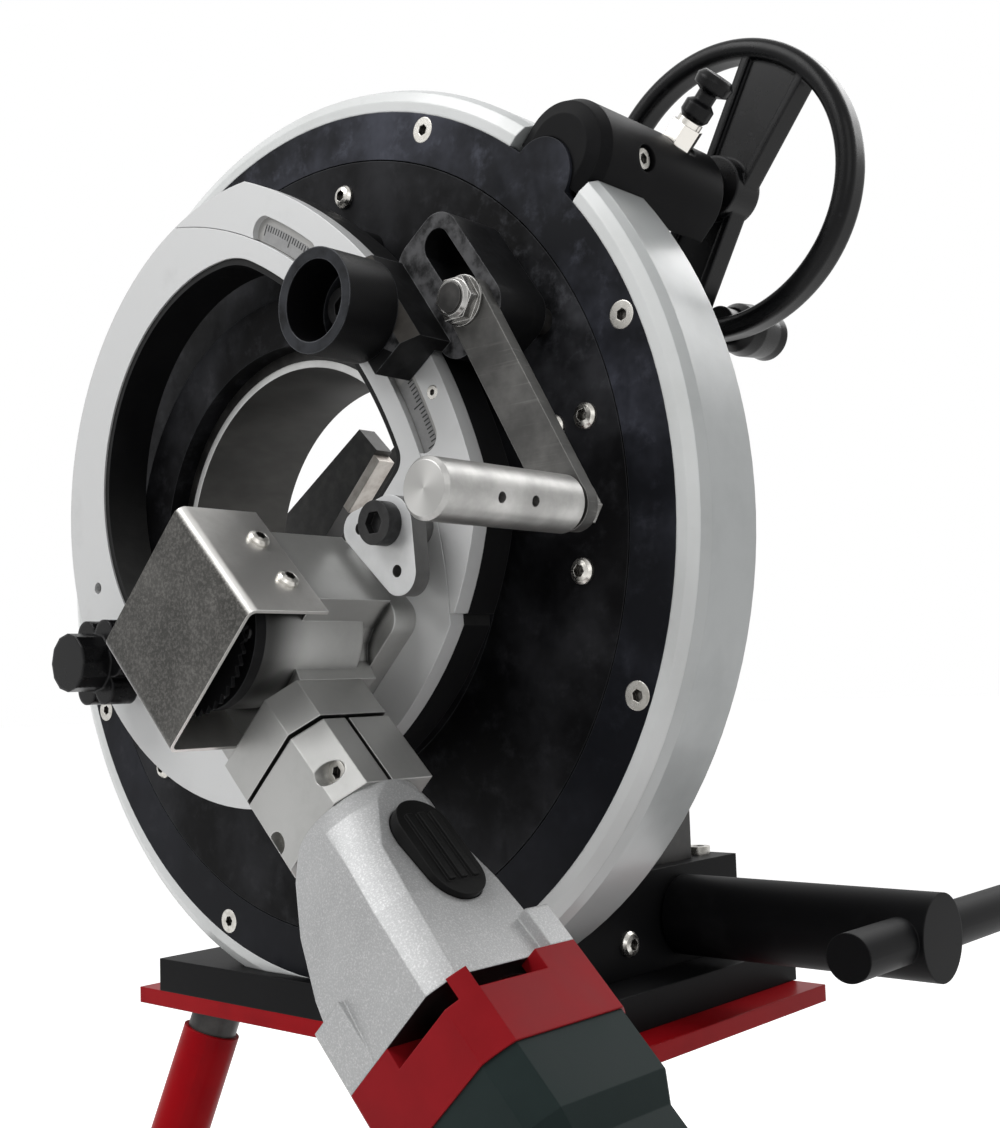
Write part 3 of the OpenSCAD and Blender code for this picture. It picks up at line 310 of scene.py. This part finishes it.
def oiled_black(v):
    """Black-oxide feed block, oily, with a bare chamfer, worn edges and a rubbed rim round the slot."""
    rolled = soft_edges(v, 0.7)
    oil = cloud(v, 80, 0.45, 0.75)
    worn = edges(v, rolled) * cloud(v, 150, 0.3, 0.6)
    bare = facing(v, CHAMFER, 0.97, 0.99) * (0.65 + 0.35 * oil)
    rim = around(v, SLOT_X, SLOT_Z, SLOT_REACH) * facing(v, FRONT, 0.8, 0.97)
    rubbed = rim * cloud(v, 110, 0.35, 0.62)
    black = blend(v, oil, (0.004, 0.004, 0.0044), (0.012, 0.0122, 0.013))
    shown = blend(v, bare, black, (0.085, 0.078, 0.070))
    shown = blend(v, rubbed * 0.75, shown, (0.12, 0.12, 0.125))
    return {"Base Color": blend(v, worn * 0.5, shown, (0.24, 0.245, 0.255)),
            "Roughness": 0.44 - 0.14 * oil, "Specular IOR Level": 0.12, "Normal": rolled}


def gloss_black(v):
    """Gloss black moulding of the wheel and knobs, with faint flow marks and scuffs."""
    rolled = soft_edges(v, 1.8)
    flow = cloud(v, 40, 0.4, 0.75)
    scuff = cloud(v, 220, 0.6, 0.8)
    rubbed = scuff * 0.4 + edges(v, rolled) * 0.4
    return {"Base Color": blend(v, rubbed, (0.004, 0.004, 0.0045), (0.030, 0.030, 0.033)),
            "Roughness": 0.24 + 0.16 * flow, "Specular IOR Level": 0.14,
            "Normal": bumped(v, noise(v, 500, 3), 0.04, 0.2, rolled)}


def red_enamel(v):
    """Semi-gloss red paint on the stand."""
    rolled = soft_edges(v, 0.8)
    wave = cloud(v, 22, 0.4, 0.8)
    peel = noise(v, 700, 2)
    paint = blend(v, wave, (0.34, 0.002, 0.006), (0.22, 0.002, 0.006))
    return {"Base Color": blend(v, edges(v, rolled) * 0.2, paint, (0.40, 0.02, 0.02)),
            "Roughness": 0.36 + 0.1 * wave, "Specular IOR Level": 0.06, "Coat Weight": 0.02,
            "Normal": bumped(v, peel, 0.06, 0.3, rolled)}


# Bare and plated metal

def blasted_silver(v):
    """Bead-blasted alloy: even and fine-grained, with a few handling marks, and painted shade that greys the
    pocket floor.
    """
    rolled = soft_edges(v, 0.5)
    grain = noise(v, 3200, 3)
    marks = cloud(v, 28, 0.55, 0.85)
    dots = cloud(v, 420, 0.70, 0.78)
    _, y, _ = coordinates(v)
    # Painted shade on the pocket floor: faces at the pocket's depth that look to the front
    level = v.math("LESS_THAN", v.math("ABSOLUTE", y - POCKET_Y * MM), POCKET_SLACK * MM)
    metal = blend(v, marks, (0.61, 0.615, 0.615), (0.53, 0.535, 0.535))
    metal = blend(v, level * facing(v, FRONT, 0.8, 0.95), metal, (0.36, 0.355, 0.345))
    return {"Base Color": blend(v, dots * 0.14, metal, (0.33, 0.33, 0.33)),
            "Metallic": 0.35, "Roughness": 0.46 + 0.08 * marks, "Normal": bumped(v, grain, 0.12, 0.1, rolled)}


def pressed_silver(v):
    """Stop plate: a bright face with much darker sides, and painted shade in its holes."""
    rolled = soft_edges(v, 0.5)
    marks = cloud(v, 60, 0.4, 0.8)
    sides = blend(v, marks, (0.13, 0.13, 0.128), (0.08, 0.08, 0.078))
    face = blend(v, marks, (0.60, 0.605, 0.61), (0.50, 0.505, 0.51))
    metal = blend(v, facing(v, FRONT, 0.5, 0.95), sides, face)
    # Painted shade in the holes
    return {"Base Color": blend(v, recess(v, 4.0) * 0.9, metal, DIRT), "Metallic": 0.4, "Roughness": 0.42,
            "Normal": rolled}


def machined_alloy(v):
    """Satin machined alloy with faint tool lines across it, and painted shade in its slits."""
    rolled = soft_edges(v, 0.8)
    lines = noise(v, 120, 4, 0.6, (1, 14, 1))
    stain = cloud(v, 24, 0.4, 0.8)
    metal = blend(v, stain, (0.42, 0.42, 0.41), (0.33, 0.33, 0.32))
    metal = blend(v, edges(v, rolled) * 0.30, metal, (0.66, 0.66, 0.65))
    # Painted shade in slits and hollows
    return {"Base Color": blend(v, recess(v, 6.0) * 0.92, metal, DIRT),
            "Metallic": 0.75, "Roughness": 0.36 + 0.12 * stain + 0.06 * lines,
            "Normal": bumped(v, lines, 0.10, 0.1, rolled)}


def oiled_alloy(v):
    """The gear head's machined alloy, blackened next to the blade by painted shade for the guard's shadow and
    the gear cover's black rim, and clear of it further back.
    """
    alloy = machined_alloy(v)
    # Painted shade on the front of the gear head, next to the blade
    oily = 1.0 - coordinates(v)[1].between(OILED_Y * MM, CLEAN_Y * MM)
    return {**alloy, "Base Color": blend(v, oily * 0.93, alloy["Base Color"], (0.010, 0.010, 0.0095))}


def turned_handle(v):
    """Satin turned alloy: fine rings along the handle, and a painted highlight in two lobes round its faced
    end.
    """
    rolled = soft_edges(v, 0.5)
    x, y, z = coordinates(v)
    turn = v.math("ARCTAN2", x - HANDLE_X * MM, z - HANDLE_Z * MM)
    # Painted highlight: two lobes of light at a fixed angle round the faced end
    fan = v.math("ABSOLUTE", v.math("SINE", turn + 0.9))
    end = facing(v, FRONT, 0.85, 0.95)
    faced = v.math("SINE", away(v, HANDLE_X, HANDLE_Z) * FACING_RINGS)
    rings = faced * end + v.math("SINE", y * TURNING_RINGS) * (1.0 - end)
    shade = end * (0.25 + 0.75 * fan ** 3.0) + (1.0 - end) * cloud(v, 40, 0.3, 0.8)
    return {"Base Color": blend(v, shade, (0.30, 0.297, 0.288), (0.54, 0.535, 0.52)), "Metallic": 0.8,
            "Roughness": 0.36, "Normal": bumped(v, rings, 0.10, 0.02, rolled)}


def die_cast(v):
    """Silver-painted die casting with a speckled, slightly sparkling skin, and a black vented end."""
    rolled = soft_edges(v, 1.0)
    speck = noise(v, 1500, 2, 0.7)
    shade = cloud(v, 20, 0.35, 0.75)
    skin = blend(v, shade, (0.39, 0.393, 0.395), (0.34, 0.343, 0.345))
    skin = blend(v, speck.between(0.45, 0.75) * 0.55, skin, (0.68, 0.68, 0.68))
    return {"Base Color": blend(v, facing(v, MOTOR_WAY, 0.9, 0.98), skin, (0.004, 0.004, 0.004)),
            "Metallic": 0.45, "Roughness": 0.50, "Normal": bumped(v, speck, 0.30, 0.12, rolled)}


def bent_sheet(v):
    """Stainless sheet: a speckled front made much darker by painted shade, and flanges made brighter by
    painted light, with handling stains.
    """
    rolled = soft_edges(v, 0.3)
    speck = cloud(v, 900, 0.42, 0.68, 4.0, 0.7)
    stain = cloud(v, 30, 0.4, 0.75)
    # Painted shade and painted light: the front and the flanges take a darker and a brighter copy of one
    # sheet
    dark = blend(v, speck * 0.6 + stain * 0.4, (0.045, 0.044, 0.041), (0.155, 0.150, 0.141))
    light = blend(v, stain, (0.70, 0.69, 0.67), (0.54, 0.53, 0.51))
    return {"Base Color": blend(v, facing(v, FRONT, 0.55, 0.95), light, dark),
            "Metallic": 0.9, "Roughness": 0.32 + 0.14 * stain,
            "Normal": bumped(v, speck, 0.10, 0.04, rolled)}


def scratched_steel(v):
    """Dark hot-rolled steel of the lever, with scratches along it and bare edges."""
    rolled = soft_edges(v, 0.6)
    along = v.make("Mapping", Vector=place(v), Rotation=(0.0, math.radians(LEVER_DOWN), 0.0),
                   Scale=(14.0, 60.0, 420.0))
    scratch = v.make("TexNoise", Vector=along, Scale=1.0, Detail=4.0, Roughness=0.65).between(0.56, 0.72)
    bloom = cloud(v, 45, 0.35, 0.75)
    steel = blend(v, bloom, (0.058, 0.057, 0.055), (0.120, 0.118, 0.113))
    steel = blend(v, scratch * 0.28, steel, (0.22, 0.22, 0.21))
    return {"Base Color": blend(v, edges(v, rolled) * 0.55, steel, (0.34, 0.335, 0.32)),
            "Metallic": 0.6, "Specular IOR Level": 0.3, "Roughness": 0.46 - 0.08 * scratch + 0.08 * bloom,
            "Normal": bumped(v, scratch, 0.08, 0.05, rolled)}


def turned_steel(v):
    """Machined steel with a soft grain."""
    rolled = soft_edges(v, 0.4)
    grain = noise(v, 240, 4, 0.6, (1, 6, 1))
    return {"Base Color": blend(v, grain.between(0.35, 0.7), (0.46, 0.455, 0.44), (0.33, 0.325, 0.31)),
            "Metallic": 0.9, "Roughness": 0.34 + 0.1 * grain, "Normal": bumped(v, grain, 0.05, 0.05, rolled)}


def bore_steel(v):
    """Bore sleeve: a bright turned front edge, and an inside darkened by painted shade, with long wear marks.
    """
    rolled = soft_edges(v, 0.6)
    wear = cloud(v, 30, 0.35, 0.75, 4.0, 0.6, (1, 0.4, 1))
    # Painted shade: the inside takes a far darker copy of the steel than the front edge
    bore = blend(v, wear, (0.035, 0.034, 0.032), (0.085, 0.083, 0.078))
    rim = blend(v, wear, (0.66, 0.66, 0.65), (0.48, 0.48, 0.47))
    return {"Base Color": blend(v, facing(v, FRONT, 0.3, 0.9), bore, rim), "Metallic": 0.55,
            "Roughness": 0.38 + 0.12 * wear, "Specular IOR Level": 0.3, "Normal": rolled}


def zinc(v, haze, dirt):
    """Colour of zinc plate under a haze, with a share of painted shade in its recesses."""
    plate = blend(v, haze, (0.60, 0.585, 0.55), (0.40, 0.385, 0.35))
    # Painted shade in the recesses
    return blend(v, recess(v, 3.5) * dirt, plate, (0.022, 0.020, 0.018))


def bright_screw(v):
    """Zinc-plated screw heads: bright, with painted shade in their recesses."""
    haze = cloud(v, 260, 0.35, 0.75)
    return {"Base Color": zinc(v, haze, 0.92), "Metallic": 0.95, "Roughness": 0.24 + 0.14 * haze,
            "Normal": soft_edges(v, 0.4)}


def chromed_nut(v):
    """Flanged nut and handle bolt: smooth chrome, darkened with oil in patches."""
    rolled = soft_edges(v, 0.5)
    oil = cloud(v, 120, 0.40, 0.70, 3.0, 0.5)
    chrome = blend(v, oil, (0.34, 0.335, 0.325), (0.14, 0.137, 0.13))
    return {"Base Color": blend(v, edges(v, rolled) * 0.4, chrome, (0.72, 0.71, 0.69)),
            "Metallic": 0.95, "Roughness": 0.20 + 0.12 * oil, "Normal": rolled}


def mixed_screws(v):
    """Carriage screws: bright ones on guard and neck, black oxide elsewhere."""
    rolled = soft_edges(v, 0.4)
    haze = cloud(v, 260, 0.35, 0.75)
    bright = around(v, *BRIGHT_SPOTS[0], SPOT_R)
    for spot in BRIGHT_SPOTS[1:]:
        bright = v.math("MAXIMUM", bright, around(v, *spot, SPOT_R))
    black = blend(v, haze, (0.006, 0.006, 0.0065), (0.018, 0.018, 0.019))
    black = blend(v, edges(v, rolled) * 0.25, black, (0.16, 0.16, 0.16))
    return {"Base Color": blend(v, bright, black, zinc(v, haze, 0.9)),
            "Metallic": 0.1 + 0.85 * bright, "Roughness": 0.42 - 0.14 * bright, "Specular IOR Level": 0.3,
            "Normal": rolled}


def dark_steel(v):
    """Black-oxide steel, oily and uneven."""
    rolled = soft_edges(v, 0.4)
    oil = cloud(v, 90, 0.4, 0.7)
    steel = blend(v, oil, (0.016, 0.0155, 0.015), (0.04, 0.038, 0.036))
    return {"Base Color": blend(v, edges(v, rolled) * 0.4, steel, (0.22, 0.215, 0.20)),
            "Metallic": 0.4, "Roughness": 0.38 + 0.12 * oil, "Normal": rolled}


def nickel_plate(v):
    """Bright nickel under a faint haze."""
    haze = noise(v, 160, 3)
    return {"Base Color": (0.62, 0.60, 0.56, 1.0), "Metallic": 1.0, "Roughness": 0.18 + 0.12 * haze,
            "Normal": soft_edges(v, 0.4)}


def turned_bronze(v):
    """Bronze bush with turning marks."""
    marks = noise(v, 200, 3, 0.6, (1, 8, 1))
    return {"Base Color": blend(v, marks, (0.42, 0.28, 0.13), (0.56, 0.40, 0.21)), "Metallic": 1.0,
            "Roughness": 0.3 + 0.1 * marks, "Normal": soft_edges(v, 0.3)}


def pad_alloy(v):
    """Sawn alloy of the jaw pads, warm grey in patches."""
    saw = noise(v, 300, 3, 0.6, (1, 12, 1))
    patch = cloud(v, 90, 0.35, 0.7)
    return {"Base Color": blend(v, patch, (0.56, 0.53, 0.49), (0.36, 0.32, 0.29)), "Metallic": 0.6,
            "Roughness": 0.45, "Normal": bumped(v, saw, 0.12, 0.1, soft_edges(v, 0.8))}


def wound_copper(v):
    """Laminations and copper of the armature."""
    lines = noise(v, 300, 2)
    return {"Base Color": blend(v, lines, (0.30, 0.12, 0.05), (0.50, 0.24, 0.12)), "Metallic": 0.8,
            "Roughness": 0.4}


# Plastic, rubber and the scale

def moulded(low, high, rough, grain_depth):
    """Moulded plastic with a spark-eroded grain, between two shades, a little lighter on its edges."""
    def build(v):
        rolled = soft_edges(v, 0.7)
        grain = noise(v, 1700, 3, 0.6)
        patch = cloud(v, 26, 0.35, 0.75, 4.0)
        light = tuple(min(1.0, 2.2 * c + 0.02) for c in high)
        return {"Base Color": blend(v, edges(v, rolled) * 0.18, blend(v, patch, low, high), light),
                "Roughness": rough + 0.08 * patch, "Specular IOR Level": 0.09,
                "Normal": bumped(v, grain, 0.18, grain_depth, rolled)}
    return build


def black_rubber(v):
    """Matt rubber with a grey bloom."""
    bloom = noise(v, 60, 4)
    return {"Base Color": blend(v, bloom, (0.010, 0.010, 0.010), (0.025, 0.025, 0.025)), "Roughness": 0.8,
            "Normal": bumped(v, noise(v, 900, 2), 0.15, 0.2, soft_edges(v, 1.0))}


def scale_tape(v):
    """Matt grey scale tape, a little stained."""
    stain = cloud(v, 120, 0.35, 0.7)
    return {"Base Color": blend(v, stain, (0.33, 0.33, 0.33), (0.26, 0.26, 0.26)), "Roughness": 0.5}


def etched_mark(v):
    """Dark filled graduation lines."""
    fade = cloud(v, 500, 0.3, 0.7)
    return {"Base Color": blend(v, fade, (0.008, 0.008, 0.009), (0.025, 0.025, 0.027)), "Roughness": 0.6}


# Each finish with the solids that take it
FINISHES = {
    "white_enamel": (white_enamel, "ring_housing rear_cover"),
    # The retaining ring's coat: smudges lifted by a painted sheen towards its top
    "retainer_coat": (hard_coat((0.0035, 0.004, 0.006), (0.092, 0.097, 0.124), 0.30, 0.09, handled_top),
                      "retaining_ring"),
    # The rotor's coat: smudges lifted by a painted sheen round the clamp lever
    "rotor_coat": (hard_coat((0.0025, 0.0025, 0.0029), (0.150, 0.153, 0.170), 0.25, 0.06, lever_sweep),
                   "rotor_disc"),
    "carrier_coat": (carrier_coat, "guide_carrier gear_cover"),
    # The swing plate's black body, with painted light and dust on its upward faces
    "dusty_coat": (dusty_coat, "swing_backing"),
    "satin_black": (satin_black, "pinion_housing base_plate vise_bed clamp_spindle"),
    "oiled_black": (oiled_black, "feed_block"),
    "knurled_black": (knurled_black, "push_knob"),
    "gloss_black": (gloss_black, "handwheel star_knob wheel_grip index_plunger"),
    "blasted_silver": (blasted_silver, "swing_plate guide_band"),
    "pressed_silver": (pressed_silver, "stop_plate"),
    "machined_alloy": (machined_alloy, "neck_clamp"),
    # The gear head's alloy, with painted shade next to the blade
    "oiled_alloy": (oiled_alloy, "gear_head"),
    # Painted shade: the saw blade made near black, for the shade under the guard
    "blade_painted_shade": (hard_coat((0.004, 0.004, 0.0044), (0.010, 0.010, 0.011), 0.06, 0.05), "saw_blade"),
    "turned_handle": (turned_handle, "lever_handle"),
    "die_cast": (die_cast, "gearbox_case"),
    "bent_sheet": (bent_sheet, "blade_guard"),
    "scratched_steel": (scratched_steel, "clamp_lever"),
    "bore_steel": (bore_steel, "bore_sleeve"),
    "turned_steel": (turned_steel, "blade_nut"),
    "bright_screw": (bright_screw, "frame_screws rotor_screws"),
    "chromed_nut": (chromed_nut, "lever_fasteners"),
    "mixed_screws": (mixed_screws, "carriage_screws"),
    "dark_steel": (dark_steel, "ring_gear blade_arbor lay_shaft motor_spindle pinion_shaft wheel_shaft"
                   " rotor_studs rotor_bush head_bearings leg_sockets jaw_left jaw_right motor_stator"),
    "nickel_plate": (nickel_plate, "plunger_body"),
    "turned_bronze": (turned_bronze, "frame_bushes"),
    "pad_alloy": (pad_alloy, "pads_left pads_right"),
    "red_enamel": (red_enamel, "stand_plate stand_legs"),
    "red_moulding": (moulded((0.25, 0.006, 0.010), (0.31, 0.009, 0.014), 0.46, 0.12), "motor_collar"),
    "green_moulding": (moulded((0.011, 0.019, 0.0185), (0.016, 0.026, 0.025), 0.50, 0.15),
                       "motor_body motor_end_cap"),
    "black_moulding": (moulded((0.007, 0.007, 0.007), (0.013, 0.013, 0.013), 0.40, 0.12),
                       "lock_button slide_switch cooling_fan"),
    "black_rubber": (black_rubber, "leg_feet"),
    "wound_copper": (wound_copper, "armature_core"),
}
for title, (build, names) in FINISHES.items():
    coat = finish(title, build)
    for name in names.split():
        NODES[name].data.materials.clear()
        NODES[name].data.materials.append(coat)


# Scale tapes in the guide band's windows, and their graduation lines

# The swing pivot on x and z, the sliding edge's radius round it, and the angles that the two windows span
PIVOT_X, PIVOT_Z = -87.0, -53.0
SPLIT_R = 215.97
WINDOWS = [(21.2, 30.0), (52.2, 62.5)]

# A tape's inner and outer edge past the sliding edge, its thickness, and its sections from end to end
TAPE_IN, TAPE_OUT, TAPE_T = 0.4, 8.4, 0.15
TAPE_SECTIONS = 40

# The lines: the first one's angle past the window's end, their step, which are long, and their sizes
LINE_FIRST, LINE_STEP, LONG_EVERY = 0.2, 0.5, 10
LINE_SHORT, LINE_LONG, LINE_EDGE = 3.0, 5.4, 0.2
LINE_W, LINE_T = 0.55, 0.12


def piece(name, points, faces, coat, body):
    """A mesh from points in millimetres and faces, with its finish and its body."""
    mesh = bpy.data.meshes.new(name)
    mesh.from_pydata((points * MM).tolist(), [], faces.tolist())
    mesh.materials.append(coat)
    made = bpy.data.objects.new(name, mesh)
    bpy.context.scene.collection.objects.link(made)
    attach(made, body)


def tape(first, last):
    """A thin strip on a pocket's floor along the sliding edge: points and faces.

    Corner j of section i lies at angle i, in even steps from first to last round the swing pivot, at the
    sliding edge's radius plus the corner's reach, and the corner's lift above the pocket's floor. Quads join
    each section to the next, and one more closes each end."""
    turn = np.radians(np.linspace(first, last, TAPE_SECTIONS))[:, None]
    reach = np.array([TAPE_IN, TAPE_OUT, TAPE_OUT, TAPE_IN])
    lift = np.array([TAPE_T, TAPE_T, 0.0, 0.0])
    corner = np.broadcast_arrays(PIVOT_X + (SPLIT_R + reach) * np.cos(turn), POCKET_Y - lift,
                                 PIVOT_Z + (SPLIT_R + reach) * np.sin(turn))
    points = np.stack(corner, axis=-1).reshape(-1, 3)
    index = np.arange(len(points)).reshape(TAPE_SECTIONS, 4)
    onward = np.roll(index, -1, axis=1)
    sides = np.stack([index[:-1], onward[:-1], onward[1:], index[1:]], axis=-1).reshape(-1, 4)
    return points, np.concatenate([sides, index[:1, ::-1], index[-1:]])


def graduation(first, last):
    """Radial lines on a tape, inwards from its outer edge: starts, ends and directions across them.

    Line i lies at first plus i steps round the swing pivot, and each tenth one is longer."""
    turn = np.radians(np.arange(first + LINE_FIRST, last, LINE_STEP))
    reach = np.where(np.arange(len(turn)) % LONG_EVERY == 0, LINE_LONG, LINE_SHORT)
    out = np.column_stack([np.cos(turn), np.zeros_like(turn), np.sin(turn)])
    across = np.column_stack([-np.sin(turn), np.zeros_like(turn), np.cos(turn)])
    middle = np.array([PIVOT_X, POCKET_Y - TAPE_T, PIVOT_Z])
    edge = SPLIT_R + TAPE_OUT
    return middle + out * (edge - reach[:, None]), middle + out * (edge - LINE_EDGE), across


def bars(starts, ends, across, up, width, height):
    """Straight bars: a rectangle of width and height carried from each start to each end. Points and faces.

    A corner is the end point, plus or minus half the width across, plus the height upwards or nothing."""
    side = across * (width / 2.0)
    lift = np.asarray(up, float) * height
    ring = [p + s * side + t * lift for p in (starts, ends) for s, t in ((-1, 0), (1, 0), (1, 1), (-1, 1))]
    points = np.stack(ring, axis=1).reshape(-1, 3)
    box = np.array([[0, 1, 5, 4], [1, 2, 6, 5], [2, 3, 7, 6], [3, 0, 4, 7], [3, 2, 1, 0], [4, 5, 6, 7]])
    return points, (np.arange(len(starts))[:, None, None] * 8 + box).reshape(-1, 4)


(first_points, first_faces), (next_points, next_faces) = (tape(*window) for window in WINDOWS)
points = np.concatenate([first_points, next_points])
faces = np.concatenate([first_faces, next_faces + len(first_points)])
piece("scale_tapes", points, faces, finish("scale_tape", scale_tape), "rotor")

lines = [graduation(*window) for window in WINDOWS]
starts, ends, across = (np.concatenate(part) for part in zip(*lines))
points, faces = bars(starts, ends, across, FRONT, LINE_W, LINE_T)
piece("scale_marks", points, faces, finish("etched_mark", etched_mark), "rotor")


# Floor, light and background

FLOOR_HALF = 30000.0
AMBIENT = 0.27


def paper_rays(v):
    """1 for rays that see the background as white paper, from camera, mirror and glass, 0 for the rest."""
    camera, mirror, glass = (v.make("LightPath", out="Is %s Ray" % kind)
                             for kind in ("Camera", "Glossy", "Transmission"))
    return v.math("MAXIMUM", v.math("MAXIMUM", camera, mirror), glass)


def paper_floor(v):
    """Pale floor that camera and mirror rays see as white paper, with the object's shadow on it."""
    return {"Base Color": (0.82, 0.82, 0.82, 1.0), "Roughness": 0.9, "Specular IOR Level": 0.1,
            "Emission Color": blend(v, paper_rays(v), (0.0, 0.0, 0.0), (0.80, 0.80, 0.80)),
            "Emission Strength": 1.0}


def floor_sheet(half):
    """A flat square at floor height: corners at plus and minus half on X and Y."""
    corners = np.array([[-1, -1], [1, -1], [1, 1], [-1, 1]]) * half
    points = np.column_stack([corners, np.full(4, FLOOR_Z)]) * MM
    mesh = bpy.data.meshes.new("floor")
    mesh.from_pydata(points.tolist(), [], [(0, 1, 2, 3)])
    mesh.materials.append(finish("paper_floor", paper_floor))
    floor = bpy.data.objects.new("floor", mesh)
    bpy.context.scene.collection.objects.link(floor)
    return floor


def area_light(name, spot, aim, size, watts):
    """A square soft box at spot, pointed at aim."""
    data = bpy.data.lights.new(name, "AREA")
    data.shape = "SQUARE"
    data.size = size * MM
    data.energy = watts
    lamp = bpy.data.objects.new(name, data)
    lamp.location = Vector(spot) * MM
    lamp.rotation_euler = (Vector(aim) - Vector(spot)).to_track_quat("-Z", "Y").to_euler()
    bpy.context.scene.collection.objects.link(lamp)


floor_sheet(FLOOR_HALF)
area_light("key_box", spot=(-500, -1250, 1500), aim=(0, 0, 0), size=1200, watts=27)
area_light("side_box", spot=(1500, -900, 700), aim=(100, 0, 0), size=1100, watts=5)
area_light("back_box", spot=(300, 1400, 1200), aim=(0, 0, 0), size=1200, watts=14)

world = bpy.data.worlds.new("studio")
bpy.context.scene.world = world
world.use_nodes = True
background = world.node_tree.nodes["Background"]
background.inputs["Color"].default_value = (1.0, 1.0, 1.0, 1.0)
strength = AMBIENT + (1.0 - AMBIENT) * paper_rays(Value(world.node_tree))
world.node_tree.links.new(strength.socket, background.inputs["Strength"])


# Camera, found from the photograph: its place, two directions of the picture and the focal length in pixels

CAMERA_AT = (522.8, -461.0, -72.3)
AHEAD = Vector((-0.6596, 0.7466, 0.0867)).normalized()
RIGHT = Vector((0.7471, 0.6639, -0.0337))
FOCAL_PX, FRAME_H = 1433.0, 1128.0
SENSOR_H = 36.0
FAR_METRES = 50.0

lens = bpy.data.cameras.new("camera")
lens.sensor_fit = "VERTICAL"
lens.sensor_height = SENSOR_H
lens.lens = SENSOR_H * FOCAL_PX / FRAME_H
lens.clip_end = FAR_METRES
right = (RIGHT - AHEAD * RIGHT.dot(AHEAD)).normalized()
turn = Matrix((right, right.cross(AHEAD), -AHEAD)).transposed().to_4x4()
camera = bpy.data.objects.new("camera", lens)
camera.matrix_world = Matrix.Translation(Vector(CAMERA_AT) * MM) @ turn
bpy.context.scene.collection.objects.link(camera)
bpy.context.scene.camera = camera
bpy.context.scene.view_settings.view_transform = "Standard"
